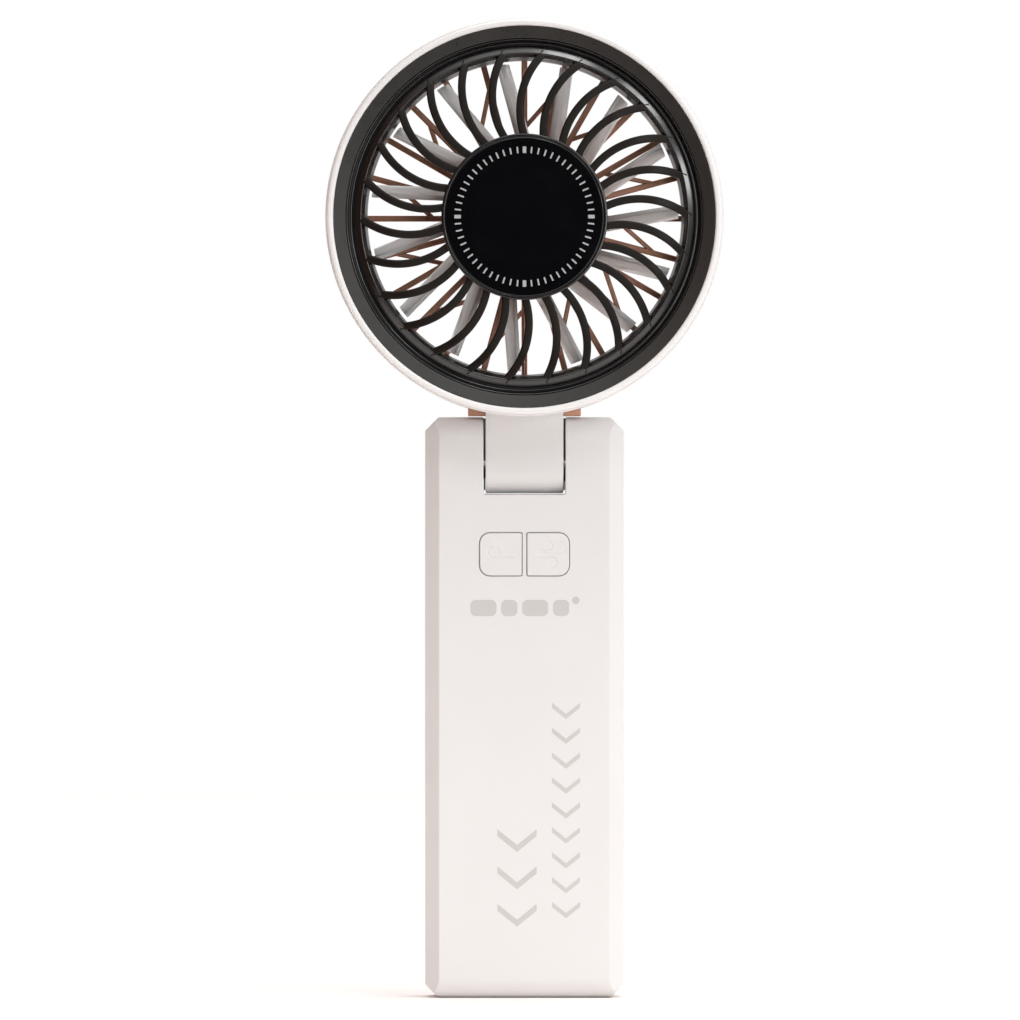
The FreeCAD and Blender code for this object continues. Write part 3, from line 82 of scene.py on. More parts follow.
ring_low, ring_high = span("front_ring")
HEAD_FRONT, RING_OUTER = ring_low.y, ring_high.x
bezel_low, bezel_high = span("front_bezel")
BEZEL_OUTER = bezel_high.x
BEZEL_INNER, GRILLE_BACK = span("front_grille")[1].xy
HUB_RADIUS, HUB_FRONT = span("display_ring")[1].xy
lens_low, lens_high = span("display_lens")
LENS_RADIUS, LENS_FRONT, LENS_BACK = lens_high.x, lens_low.y, lens_high.y

arm_low, arm_high = span("arm_body")
ARM_HALF, ARM_BASE, ARM_SPLIT = arm_high.x, arm_low.z, arm_low.y
ARM_FRONT = span("arm_cover")[0].y
bush_low, bush_high = span("hinge_bushes")
HINGE_Y = (bush_low.y + bush_high.y) / 2
HINGE_Z = (bush_low.z + bush_high.z) / 2
BUSH_RADIUS = (bush_high.y - bush_low.y) / 2
BARREL = arm_high.y - HINGE_Y

impeller_low, impeller_high = span("impeller")
IMPELLER_RADIUS = impeller_high.x
BLADE_FRONT, BLADE_BACK = impeller_low.y, impeller_high.y
BELL_RADIUS = span("rotor_bell")[1].x
GUARD_FRONT = span("rear_guard")[0].y
DUCT_END = span("duct")[1].y

# ---- sizes that a box doesn't give

WALL = 1.8
CORNER_CUT, SIDE_CHAMFER, EDGE_ROUND = 2.9, 3.0, 4.2
SOFT_EDGE = 0.6  # round of the casing's long edges
SEAM = 0.3
NOTCH_HALF, NOTCH_FLOOR, NOTCH_WALL = 8.8, 107.9, 1.5
NOTCH_CORNER, NOTCH_RIM = 0.4, 0.25
PLANE_SHIFT = sqrt(2)  # how far a 45 degree plane's x + y changes with an inset
INSET_TO_CUT = 2 - PLANE_SHIFT
POSTS = [(x, z) for x in (-15.0, 15.0) for z in (8.0, 100.0)]
POST_RADIUS, POST_BORE, POST_GAP, THREAD, THREAD_END = 2.5, 1.1, 0.05, 0.15, -7
SCREW_HEAD, SCREW_SEAT = 2.1, 1.6
HINGE_BOSS, BOSS_START, BOSS_END, PIN_BORE, SLEEVE_BORE = 4.2, 9.55, 14.0, 1.55, 2.05
WINDOW_DEPTH, WINDOW_FLARE, PORT_GAP, PORT_FLARE = 4, 0.22, 0.25, 0.3

BUTTON_ROUND, BUTTON_INNER_ROUND, BUTTON_EDGE = 2.2, 0.3, 0.25
BUTTON_CLEARANCE, FLANGE_REACH, FLANGE_OUT, FLANGE_THICK = 0.13, 0.8, 0.6, 0.5
ENGRAVED, STROKE = 0.10, 0.21  # depth and half width of an icon's line
# the lines of an icon: start x and z, x of the corner, z of the curl's centre, its radius and its sweep
BREEZE = [(2.7, -0.75, -1.6, 0.45, 1.2, 300)]
GALE = [
    (-3.0, 0.95, 0.1, 1.75, 0.8, 200),
    (-2.6, 0.2, 2.3, 1.4, 1.2, 230),
    (-2.8, -0.75, 0.9, -1.75, 1.0, 200),
]

ARM_ROUND, ARM_BACK, ARM_TOP, ARM_WALL = 5.0, 4.4, 126.0, 1.5
ARM_CEILING, ARM_THROAT = 122.3, 1.0
# strips on the arm and a sill on the notch's floor keep daylight out of the gaps round the arm
STRIP_REACH, STRIP_THICK, STRIP_START, STRIP_STOP = 9.0, 1.0, 115.2, 124.35
STRIP_ROOM, SILL_START, SILL_TOP = 0.35, 12.6, 108.15
COLLAR_FRONT, COLLAR_BACK, COLLAR_TOP = -12.0, 4.0, 127.0

SHELL_INNER, SHELL_ROUND, SHELL_LIP = 41.0, 1.2, 0.4
SPIGOT, SPIGOT_STEP = 0.66, 0.2
RING_INNER, RING_RISE, BEZEL_SLOPE = 36.4, 0.3, 0.8
CHANNEL_RADIUS, CHANNEL_DEPTH = 37.2, 2.5  # the channel's and lip's depths are from the hub's front
LIP_OUTER, LIP_CREST, LIP_INNER = 36.5, 34.9, 34.1
LIP_SHOULDER, LIP_DEPTH, LIP_END, LIP_RISE, LIP_LEAN = 1.85, 1.2, 3.0, 0.2, 0.15
HUB_WALL, HUB_BACK, HUB_FLOOR = 1.5, -20.3, -21.5
RIBS, RIB_WIDTH, RIB_THICK, RIB_ROUND = 26, 1.7, 1.9, 0.4
RIB_BEND, RIB_BEND_X, RIB_BEND_Z = 17.17, 16.49, 22.6
RIB_START, RIB_STOP = 199.0, 133.0  # degrees round the bend's centre
RIB_PHASE = -0.7  # degrees clockwise
DOME_START, DOME_DROP = 28.0, 2.0
THROAT_RADIUS, THROAT_Y, DUCT_WALL, DUCT_FLARE, DUCT_FLANGE = 33.64, -8.0, 1.2, 2.2, 1.1
SKIRT = 1.0  # the duct's wall at its two ends

IMPELLER_HUB, HUB_SKIN, HUB_SOFT = 15.5, 0.9, 2.5
BLADES, BLADES_TURNED, BLADE_THICK, BLADE_CAMBER = 15, 1.25, 1.15, 30.0
BLADE_SWEEP, ROOT_LEAN, TIP_LEAN = -5.7, 1.2, 1.0
BLADE_FOOT, BLADE_SHORT, BLADE_NOSE = IMPELLER_HUB - PAST, 1.0, 0.85

GUARD_RING, GUARD_HUB, GUARD_PLATE, SPOKES, SPOKE_WIDTH = 37.2, 15.0, 1.1, 24, 1.3
STRUT_WIDTH, STRUT_INNER, STRUT_OUTER = 1.0, 19.5, 29.0
BAR_FRONT, STRUT_INSET, BAR_ROUND = 0.3, 0.2, 0.25
# the guard's screws: number, first angle, distance from the axis, shank and head radius, head depth
GUARD_SCREWS = [(4, 45, 39.0, 0.95, 1.9, 1.2), (3, 60, 9.0, 0.85, 1.75, 0.7)]


# ---- outlines

def polar(radius, degrees):
    """A point on the head's face: degrees clockwise from the top, seen from the front."""
    angle = radians(degrees)
    return radius * sin(angle), radius * cos(angle)


def turned_by(point, degrees):
    """A point on the head's face, turned clockwise about the fan's axis."""
    cosine, sine = cos(radians(degrees)), sin(radians(degrees))
    x, z = point
    return x * cosine + z * sine, z * cosine - x * sine


def soften(corners, steps=ARC_STEPS):
    """A closed outline from corners (a, b), or (a, b, radius) for a corner rounded by an arc."""
    outline = []
    for index, (a, b, *rounding) in enumerate(corners):
        here = Vector((a, b))
        radius = sum(rounding)
        if radius == 0:
            outline.append(here)
            continue
        before = (Vector(corners[index - 1][:2]) - here).normalized()
        after = (Vector(corners[(index + 1) % len(corners)][:2]) - here).normalized()
        half = before.angle(after) / 2
        centre = here + (before + after).normalized() * radius / sin(half)
        start = here + before * radius / tan(half) - centre
        stop = here + after * radius / tan(half) - centre
        first = atan2(start.y, start.x)
        swing = atan2(stop.y, stop.x) - first
        swing = (swing + pi) % tau - pi
        for step in range(steps + 1):
            angle = first + swing * step / steps
            outline.append(centre + Vector((cos(angle), sin(angle))) * radius)
    return outline


def rectangle(a_low, a_high, b_low, b_high, radius=0.0):
    corners = [(a_low, b_low), (a_high, b_low), (a_high, b_high), (a_low, b_high)]
    return soften([(a, b, radius) for a, b in corners])


def grown(outline, amount):
    """A closed outline moved outward by amount, or inward where amount is negative."""
    if amount == 0:
        return outline
    count = len(outline)
    area = sum(outline[at - 1].cross(outline[at]) for at in range(count))
    side = copysign(1, area)
    moved = []
    for index, here in enumerate(outline):
        back = (here - outline[index - 1]).normalized()
        on = (outline[(index + 1) % count] - here).normalized()
        normal = Vector((back.y, -back.x)) * side
        next_normal = Vector((on.y, -on.x)) * side
        moved.append(here + (normal + next_normal) * amount / (1 + normal.dot(next_normal)))
    return moved


def arc_points(centre, radius, start, stop, steps):
    """Points on an arc between two angles in degrees, counted from the first axis to the second."""
    a, b = centre
    points = []
    for step in range(steps + 1):
        angle = radians(start + (stop - start) * step / steps)
        points.append(Vector((a + radius * cos(angle), b + radius * sin(angle))))
    return points


# ---- meshes

def add_object(name, data):
    item = bpy.data.objects.new(name, data)
    bpy.context.scene.collection.objects.link(item)
    return item


def drop_loose(work):
    """Delete the edges that have no face."""
    loose = [edge for edge in work.edges if not edge.link_faces]
    bmesh.ops.delete(work, geom=loose, context="EDGES")


def make_piece(name, points, faces):
    """A mesh object from points in millimetres, with doubles merged and normals outward."""
    mesh = bpy.data.meshes.new(name)
    mesh.from_pydata([Vector(point) * MM for point in points], [], faces)
    work = bmesh.new()
    work.from_mesh(mesh)
    bmesh.ops.remove_doubles(work, verts=work.verts, dist=MERGE)
    drop_loose(work)
    bmesh.ops.connect_verts_nonplanar(work, angle_limit=FLAT, faces=work.faces)
    bmesh.ops.recalc_face_normals(work, faces=work.faces)
    if work.calc_volume(signed=True) < 0:
        bmesh.ops.reverse_faces(work, faces=work.faces)
    work.to_mesh(mesh)
    work.free()
    return add_object(name, mesh)


def layered(name, rings, closed=False):
    """A skin over rings of points, with a flat cap at each end or joined into a loop."""
    count = len(rings[0])
    points = [point for ring in rings for point in ring]
    faces = []
    for level in range(len(rings) if closed else len(rings) - 1):
        low, high = level * count, (level + 1) % len(rings) * count
        for corner in range(count):
            after = (corner + 1) % count
            faces.append((low + corner, low + after, high + after, high + corner))
    if not closed:
        last = (len(rings) - 1) * count
        faces.append(tuple(range(count)))
        faces.append(tuple(range(last, last + count)))
    return make_piece(name, points, faces)


def along_x(a, b, level):
    return level, a, b


def along_y(a, b, level):
    return a, level, b


def along_z(a, b, level):
    return a, b, level


def on_head(a, b, level):
    return a, level, HEAD_Z + b


def on_hinge(a, b, level):
    return level, HINGE_Y + a, HINGE_Z + b


def rim_levels(end, inward, radius):
    """Levels and growth of a soft rim. A negative radius flares it, and carries it past the end."""
    if radius == 0:
        return [(end, 0.0)]
    levels = []
    if radius < 0:
        levels.append((end + inward * radius * 2, -radius))
    for step in range(RIM_STEPS + 1):
        angle = pi / 2 * step / RIM_STEPS
        level = end + inward * abs(radius) * (1 - cos(angle))
        levels.append((level, -radius * (1 - sin(angle))))
    return levels


def prism(name, outline, place, start, stop, start_rim=0.0, stop_rim=0.0):
    """An outline drawn out from start to stop, with soft or flared rims."""
    inward = copysign(1, stop - start)
    levels = rim_levels(start, inward, start_rim)
    levels += reversed(rim_levels(stop, -inward, stop_rim))
    rings = [[place(a, b, level) for a, b in grown(outline, growth)] for level, growth in levels]
    return layered(name, rings)


def turned(name, corners, place=on_head, around=AROUND):
    """A closed outline of (radius, level) corners, softened and turned about an axis."""
    outline = soften(corners)
    rings = []
    for step in range(around):
        angle = tau * step / around
        sine, cosine = sin(angle), cos(angle)
        rings.append([place(radius * sine, radius * cosine, level) for radius, level in outline])
    return layered(name, rings, closed=True)


def rod(place, start, stop, radius, around=ROD_AROUND):
    return turned("rod", rectangle(0, radius, *sorted((start, stop))), place, around)


def at_point(x, z):
    """Places a piece about an axis along Y."""
    return lambda a, b, level: (x + a, level, z + b)


def swept(name, stations, section, closed=False):
    """A section of (a, b) points carried along stations (point, direction of a, direction of b)."""
    rings = [[point + u * a + v * b for a, b in section] for point, u, v in stations]
    return layered(name, rings, closed)


def drop(item):
    mesh = item.data
    bpy.data.objects.remove(item)
    bpy.data.meshes.remove(mesh)


def settle(item):
    """Turn an object's modifiers into its mesh, without the slivers that cutting leaves."""
    graph = bpy.context.evaluated_depsgraph_get()
    mesh = bpy.data.meshes.new_from_object(item.evaluated_get(graph))
    item.modifiers.clear()
    spent = item.data
    item.data = mesh
    bpy.data.meshes.remove(spent)
    work = bmesh.new()
    work.from_mesh(mesh)
    bmesh.ops.remove_doubles(work, verts=work.verts, dist=SLIVER)
    drop_loose(work)
    gaps = [edge for edge in work.edges if edge.is_boundary]
    bmesh.ops.holes_fill(work, edges=gaps, sides=8)
    bmesh.ops.recalc_face_normals(work, faces=work.faces)
    work.to_mesh(mesh)
    work.free()


def combine(item, tools, operation):
    for tool in tools:
        step = item.modifiers.new(tool.name, "BOOLEAN")
        step.operation = operation
        step.solver = "EXACT"
        step.object = tool
    settle(item)
    for tool in tools:
        drop(tool)
    return item


def carve(item, *tools):
    return combine(item, tools, "DIFFERENCE")


def fuse(item, *tools):
    return combine(item, tools, "UNION")


def keep_common(item, *tools):
    return combine(item, tools, "INTERSECT")


def gather(name, items):
    """Several meshes that don't touch, as one object."""
    work = bmesh.new()
    for item in items:
        work.from_mesh(item.data)
        drop(item)
    mesh = bpy.data.meshes.new(name)
    work.to_mesh(mesh)
    work.free()
    return add_object(name, mesh)


# ---- handle casing

def reach_at(profile, level):
    """Where a profile of (reach, level) points with rising levels is at a level."""
    for (near, low), (far, high) in zip(profile, profile[1:]):
        if level <= high:
            return near + (far - near) * max(level - low, 0) / (high - low)
    return profile[-1][0]


def casing_block(name, inset, side, past=0.0):
    """Half of the handle's outer form moved in by inset, run past the split by past."""
    half_width, half_depth = HALF_WIDTH - inset, HALF_DEPTH - inset
    corner = CORNER_CUT - INSET_TO_CUT * inset
    bend = EDGE_ROUND - inset
    limit = HALF_WIDTH + HALF_DEPTH - SIDE_CHAMFER - PLANE_SHIFT * inset
    middle = HEIGHT / 2 - inset
    widths = soften([
        (0, 0),
        (half_width - corner, 0, SOFT_EDGE),
        (half_width, corner, SOFT_EDGE),
        (half_width, middle),
    ])[1:]
    depths = soften([(0, 0, 0), (half_depth, 0, bend), (half_depth, middle, 0)], steps=16)[1:]
    stops = sorted({abs(round(point.y, 5)) for point in widths[:-1] + depths[:-1]})
    rings = []
    for end, inward in ((inset, 1), (HEIGHT - inset, -1)):
        group = []
        for stop in stops:
            width, depth = reach_at(widths, stop), reach_at(depths, stop)
            leg = max(width + depth - limit, INSET_TO_CUT * SOFT_EDGE)
            section = soften([
                (-width, -past),
                (-width, depth - leg, SOFT_EDGE),
                (leg - width, depth, SOFT_EDGE),
                (width - leg, depth, SOFT_EDGE),
                (width, depth - leg, SOFT_EDGE),
                (width, -past),
            ])
            group.append([(x, y * side, end + stop * inward) for x, y in section])
        rings += group if inward > 0 else reversed(group)
    return layered(name, rings)


def block(low, high):
    """A plain box, used only to cut with."""
    return prism("block", rectangle(low[0], high[0], low[1], high[1]), along_z, low[2], high[2])


def notch_cutter():
    outline = soften([
        (-NOTCH_HALF, NOTCH_FLOOR, NOTCH_CORNER),
        (NOTCH_HALF, NOTCH_FLOOR, NOTCH_CORNER),
        (NOTCH_HALF, HEIGHT + WALL),
        (-NOTCH_HALF, HEIGHT + WALL),
    ])
    return prism("notch_cutter", outline, along_y, -HALF_WIDTH, HALF_WIDTH)


def notch_rim_cutter():
    """Follows the notch's edges over the handle's front, top and back, and rounds them."""
    steps = 8
    quarter = [pi / 2 * step / steps for step in range(steps + 1)]
    bend_x = NOTCH_HALF - NOTCH_CORNER
    stations = []

    def corner(side, face, angles):
        for angle in angles:
            u = Vector((side * sin(angle), 0, -cos(angle)))
            centre = Vector((side * bend_x, face * HALF_DEPTH, NOTCH_FLOOR + NOTCH_CORNER))
            stations.append((centre + u * NOTCH_CORNER, u, Vector((0, -face, 0))))

    def shoulder(side, face, angles):
        for angle in angles:
            v = Vector((0, -face * cos(angle), -sin(angle)))
            centre = Vector((side * NOTCH_HALF, face * (HALF_DEPTH - EDGE_ROUND), HEIGHT - EDGE_ROUND))
            stations.append((centre - v * EDGE_ROUND, Vector((side, 0, 0)), v))

    for side, face in ((1, -1), (-1, 1)):  # down one side of the notch and up the other
        corner(side, face, quarter)
        shoulder(side, face, quarter)
        shoulder(side, -face, reversed(quarter))
        corner(side, -face, reversed(quarter))
    over, rim = 0.1, NOTCH_RIM
    section = [(-over, -over), (rim, -over)]
    for angle in quarter:
        section.append((rim - rim * sin(angle), rim - rim * cos(angle)))
    section.append((-over, rim))
    return swept("notch_rim_cutter", stations, section, closed=True)


def button_outline(side):
    """The cap's front outline, drawn the same way round on both sides."""
    low, high = span("left_button")
    z_low, z_high = low.z + FLANGE_REACH, high.z - FLANGE_REACH
    inner, outer = abs(high.x), -low.x - FLANGE_REACH
    return soften([
        (inner * side, z_low, BUTTON_INNER_ROUND),
        (outer * side, z_low, BUTTON_ROUND),
        (outer * side, z_high, BUTTON_ROUND),
        (inner * side, z_high, BUTTON_INNER_ROUND),
    ])


def post_rods(start, stop, radius):
    """A round bar on each screw's axis."""
    return gather("rods", [rod(at_point(x, z), start, stop, radius) for x, z in POSTS])


def hollow_cutter(side):
    inner = casing_block("hollow_cutter", WALL, side, past=PAST)
    lined = NOTCH_HALF + NOTCH_WALL
    liner = block((-lined, -HALF_WIDTH, NOTCH_FLOOR - WALL), (lined, HALF_WIDTH, HEIGHT + WALL))
    return carve(inner, liner)


def front_shell():
    shell = casing_block("casing_front", 0, -1)
    tools = [hollow_cutter(-1), notch_cutter(), notch_rim_cutter()]
    back = -HALF_DEPTH + WINDOW_DEPTH
    for side in (-1, 1):
        window = grown(button_outline(side), BUTTON_CLEARANCE)
        tools.append(prism("window_cutter", window, along_y, -HALF_DEPTH, back, -WINDOW_FLARE))
    low, high = span("charge_socket")
    gap, nearly_round, through = PORT_GAP, 0.999, WALL * 1.25
    radius = ((high.y - low.y) / 2 + gap) * nearly_round
    port = rectangle(low.x - gap, high.x + gap, low.y - gap, high.y + gap, radius)
    tools.append(prism("port_cutter", port, along_z, 0, through, -PORT_FLARE))
    shell = carve(shell, *tools)
    shell = fuse(shell, post_rods(-HALF_DEPTH + WALL / 2, -POST_GAP, POST_RADIUS))
    return carve(shell, post_rods(THREAD_END, PAST, POST_BORE - THREAD))


def screw_bore():
    """Corners of a casing screw's hole: a bore, a seat for the head and a soft mouth."""
    soft, start = 0.25, -0.5
    return [
        (0, start),
        (POST_BORE, start),
        (POST_BORE, HALF_DEPTH - SCREW_SEAT),
        (SCREW_HEAD, HALF_DEPTH - SCREW_SEAT),
        (SCREW_HEAD, HALF_DEPTH, soft),
        (SCREW_HEAD + soft, HALF_DEPTH),
        (SCREW_HEAD + soft, HALF_DEPTH + PAST),
        (0, HALF_DEPTH + PAST),
    ]


def rear_shell():
    shell = casing_block("casing_rear", 0, 1)
    wide, over = 30, 5  # the band's cutter reaches well past the casing
    band = block((-wide, -PAST, -over), (wide, SEAM, HEIGHT + over))
    band = carve(band, casing_block("band_core", SEAM, 1, past=2 * PAST))
    half = STRIP_REACH + STRIP_ROOM
    low = (-half, ARM_BACK - STRIP_THICK - STRIP_ROOM, STRIP_START - STRIP_ROOM)
    swing = block(low, (half, HALF_DEPTH + PAST, HEIGHT + PAST))
    shell = carve(shell, hollow_cutter(1), notch_cutter(), notch_rim_cutter(), band, swing)
    soft, sunk, bite = 0.3, 0.6, 0.5  # the sill's edges, and how far it runs into the floor and the walls
    sill = rectangle(SILL_START, HALF_DEPTH - soft, NOTCH_FLOOR - sunk, SILL_TOP, soft)
    shell = fuse(shell, prism("sill", sill, along_x, -NOTCH_HALF - bite, NOTCH_HALF + bite))
    posts = post_rods(POST_GAP, HALF_DEPTH - WALL / 2, POST_RADIUS)
    bosses = []
    pins = []
    near, far = 1.0, BOSS_END + 4
    for side, radius in ((-1, PIN_BORE), (1, SLEEVE_BORE)):
        bosses.append(rod(on_hinge, side * BOSS_START, side * BOSS_END, HINGE_BOSS))
        pins.append(rod(on_hinge, side * near, side * far, radius))
    shell = fuse(shell, posts, gather("bosses", bosses))
    bores = [turned("bore", screw_bore(), at_point(x, z), ROD_AROUND) for x, z in POSTS]
    return carve(shell, gather("bores", bores), gather("pin_bores", pins))


# ---- buttons

def stroke(line, depth):
    """A line of (x, z) points as a round-ended groove cutter in the button's front."""
    front = span("left_button")[0].y
    around, tip_reach, tip_size = 12, 0.8, 0.45
    centres = [Vector((here.x, front, here.y)) for here in line]
    rings = []
    for index, centre in enumerate(centres):
        along = (line[min(index + 1, len(line) - 1)] - line[max(index - 1, 0)]).normalized()
        beside = Vector((-along.y, 0, along.x))
        ring = []
        for step in range(around):
            angle = tau * step / around
            ring.append(centre + beside * STROKE * cos(angle) + Vector((0, depth * sin(angle), 0)))
        rings.append(ring)
    tips = []
    for end, near in ((0, 1), (-1, -2)):
        outward = (line[end] - line[near]).normalized()
        tip = centres[end] + Vector((outward.x, 0, outward.y)) * STROKE * tip_reach
        tips.append([tip + (point - centres[end]) * tip_size for point in rings[end]])
    return layered("groove", [tips[0], *rings, tips[1]])


def hook(start, corner_x, centre_z, radius, sweep):
    """A level line that ends in a curl: from start to corner_x, then round a centre above or below."""
    steps = 10
    line = [Vector(start), Vector(((start[0] + corner_x) / 2, start[1]))]
    side = copysign(1, corner_x - start[0])
    rise = copysign(1, centre_z - start[1])
    for step in range(steps + 1):
        angle = radians(sweep) * step / steps
        line.append(Vector((
            corner_x + side * radius * sin(angle),
            centre_z - rise * radius * cos(angle),
        )))
    return line


def button(name, side, icon):
    low, high = span("left_button")
    outline = button_outline(side)
    cap = prism(name, outline, along_y, low.y, high.y, BUTTON_EDGE)
    flange = prism("flange", grown(outline, FLANGE_OUT), along_y, high.y - FLANGE_THICK, high.y)
    inner_face = outline[0].x - BUTTON_INNER_ROUND * side
    near, far = sorted((inner_face, inner_face - side * 3))
    edge = block((near, low.y - PAST, low.z - PAST), (far, high.y + PAST, high.z + PAST))
    cap = fuse(cap, carve(flange, edge))
    xs, zs = zip(*outline)
    x, z = (min(xs) + max(xs)) / 2, (min(zs) + max(zs)) / 2
    grooves = []
    for from_x, from_z, corner_x, curl_z, radius, sweep in icon:
        line = hook((x + from_x, z + from_z), x + corner_x, z + curl_z, radius, sweep)
        grooves.append(stroke(line, ENGRAVED))
    return carve(cap, *grooves)


# ---- arm

def arm_profile():
    """The arm's side view, in (y, z)."""
    crown = HINGE_Z + BARREL
    barrel = arc_points((HINGE_Y, HINGE_Z), BARREL, -90, 90, 24)
    lower = soften([
        (ARM_BACK, ARM_TOP),
        (ARM_FRONT, ARM_TOP),
        (ARM_FRONT, ARM_BASE, ARM_ROUND),
        (HINGE_Y, ARM_BASE),
    ], steps=16)[:-1]
    throat = soften([(HINGE_Y, crown, 0), (ARM_BACK, crown, ARM_THROAT), (ARM_BACK, ARM_TOP, 0)])[1:-1]
    return lower + barrel + throat


def arm_blank(name):
    soft = 0.3
    return prism(name, arm_profile(), along_x, -ARM_HALF, ARM_HALF, soft, soft)


def arm_slab(start, stop):
    wide, over = 20, 5
    return block((-wide, start, ARM_BASE - over), (wide, stop, ARM_TOP + over))


def arm_pieces():
    joint, passage = 0.05, 3.0
    ahead = ARM_FRONT - 5 * PAST
    cover = keep_common(arm_blank("arm_front"), arm_slab(ahead, ARM_SPLIT - joint))
    inside, floor, back = ARM_HALF - ARM_WALL, ARM_BASE + ARM_WALL, ARM_BACK - ARM_WALL
    low, high = HINGE_Z - passage, HINGE_Z + passage
    tools = [
        arm_slab(ahead, ARM_SPLIT + joint),
        block((-inside, ARM_SPLIT - PAST, floor), (inside, back, ARM_CEILING)),
        block((-passage, back - PAST, low), (passage, HINGE_Y, high)),
        rod(on_hinge, -ARM_HALF - PAST, ARM_HALF + PAST, BUSH_RADIUS),
    ]
    arm = carve(arm_blank("arm_rear"), *tools)
    bite, soft = 0.5, 0.2  # how far a strip runs into the arm, and its edges
    strips = []
    for side in (-1, 1):
        near, far = sorted((side * (ARM_HALF - bite), side * STRIP_REACH))
        outline = rectangle(near, far, ARM_BACK - STRIP_THICK, ARM_BACK - FIT_GAP, soft)
        strips.append(prism("strip", outline, along_z, STRIP_START, STRIP_STOP))
    return fuse(arm, gather("strips", strips)), cover


def neck_wedges():
    low, high = span("neck_gussets")
    soft = 0.2
    wedges = []
    for side in (-1, 1):
        inner, outer = sorted((side * ARM_HALF, side * high.x))
        outline = rectangle(inner, outer, low.z, COLLAR_TOP, soft)
        wedges.append(prism("wedge", outline, along_y, COLLAR_FRONT, COLLAR_BACK, soft, soft))
    return gather("neck_wedges", wedges)


# ---- head casing

def head_casing():
    return turned("head_casing", [
        (SHELL_INNER, SHELL_FRONT),
        (HEAD_RADIUS, SHELL_FRONT, SHELL_LIP),
        (HEAD_RADIUS, HEAD_BACK, SHELL_ROUND),
        (SHELL_INNER, HEAD_BACK),
    ])


def trim_ring():
    soft = 0.5
    inner = BEZEL_OUTER + FIT_GAP
    step = SHELL_FRONT - SPIGOT_STEP
    return turned("trim_ring", [
        (inner, step),
        (inner, HEAD_FRONT, soft),
        (RING_OUTER, HEAD_FRONT, soft),
        (RING_OUTER, SHELL_FRONT),
        (SHELL_INNER, SHELL_FRONT),
        (SHELL_INNER, GRILLE_BACK),
        (inner - SPIGOT, GRILLE_BACK),
        (inner - SPIGOT, step),
    ])


def dark_bezel():
    soft = 0.12
    inner = BEZEL_INNER + FIT_GAP
    shoulder = BEZEL_OUTER - SPIGOT - FIT_GAP
    step = SHELL_FRONT - SPIGOT_STEP
    return turned("dark_bezel", [
        (inner, bezel_low.y + BEZEL_SLOPE, soft),
        (inner, GRILLE_BACK),
        (shoulder, GRILLE_BACK),
        (shoulder, step),
        (BEZEL_OUTER, step),
        (BEZEL_OUTER, bezel_low.y, soft),
    ])


def dome(radius):
    """Depth of the ribs' front at a radius: flat near the hub, then curving back."""
    run = RING_INNER - DOME_START
    bend = (run * run + DOME_DROP * DOME_DROP) / (2 * DOME_DROP)
    out = min(max(radius - DOME_START, 0), run)
    return HUB_FRONT + bend - sqrt(bend * bend - out * out)


def rib(turn):
    steps = 28
    stations = []
    for step in range(steps + 1):
        angle = radians(RIB_START + (RIB_STOP - RIB_START) * step / steps)
        x = RIB_BEND_X + RIB_BEND * cos(angle)
        z = RIB_BEND_Z + RIB_BEND * sin(angle)
        depth = dome(hypot(x, z)) + RIB_THICK / 2
        x, z = turned_by((x, z), turn)
        across_x, across_z = turned_by((cos(angle), sin(angle)), turn)
        point = Vector((x, depth, HEAD_Z + z))
        stations.append((point, Vector((across_x, 0, across_z)), Vector((0, 1, 0))))
    section = rectangle(-RIB_WIDTH / 2, RIB_WIDTH / 2, -RIB_THICK / 2, RIB_THICK / 2, RIB_ROUND)
    return swept("rib", stations, section)


def grille():
    recess = HUB_RADIUS - HUB_WALL
    hub = turned("ribbed_grille", [
        (0, HUB_BACK),
        (HUB_RADIUS, HUB_BACK, 0.3),
        (HUB_RADIUS, HUB_FRONT),
        (recess, HUB_FRONT),
        (recess, HUB_FLOOR),
        (0, HUB_FLOOR),
    ])
    ribs = [rib(RIB_PHASE + 360 / RIBS * step) for step in range(RIBS)]
    return fuse(hub, gather("ribs", ribs))


def grille_ring():
    """The gloss ring that the ribs run into: a channel beside the bezel, then a rounded lip."""
    edge, soft, fine = 0.2, 0.3, 0.15
    return turned("grille_ring", [
        (BEZEL_INNER, HUB_FRONT - RING_RISE, edge),
        (CHANNEL_RADIUS, HUB_FRONT + CHANNEL_DEPTH, soft),
        (LIP_OUTER, HUB_FRONT + CHANNEL_DEPTH - LIP_RISE, fine),
        (LIP_OUTER - LIP_LEAN, HUB_FRONT + LIP_SHOULDER, fine),
        (LIP_CREST, HUB_FRONT + LIP_DEPTH, soft),
        (LIP_INNER, HUB_FRONT + LIP_END, soft),
        (LIP_INNER, GRILLE_BACK),
        (BEZEL_INNER, GRILLE_BACK),
    ])


def bow(start, stop):
    """Points of an arc in (radius, y) that runs along Y where it ends."""
    steps = 14
    run, rise = abs(start[1] - stop[1]), abs(start[0] - stop[0])
    bend = (run * run + rise * rise) / (2 * rise)
    outward = copysign(1, start[0] - stop[0])
    points = []
    for step in range(steps + 1):
        share = step / steps
        along = run * (1 - share)
        y = start[1] + (stop[1] - start[1]) * share
        radius = stop[0] + outward * (bend - sqrt(bend * bend - along * along))
        points.append(Vector((radius, y)))
    return points


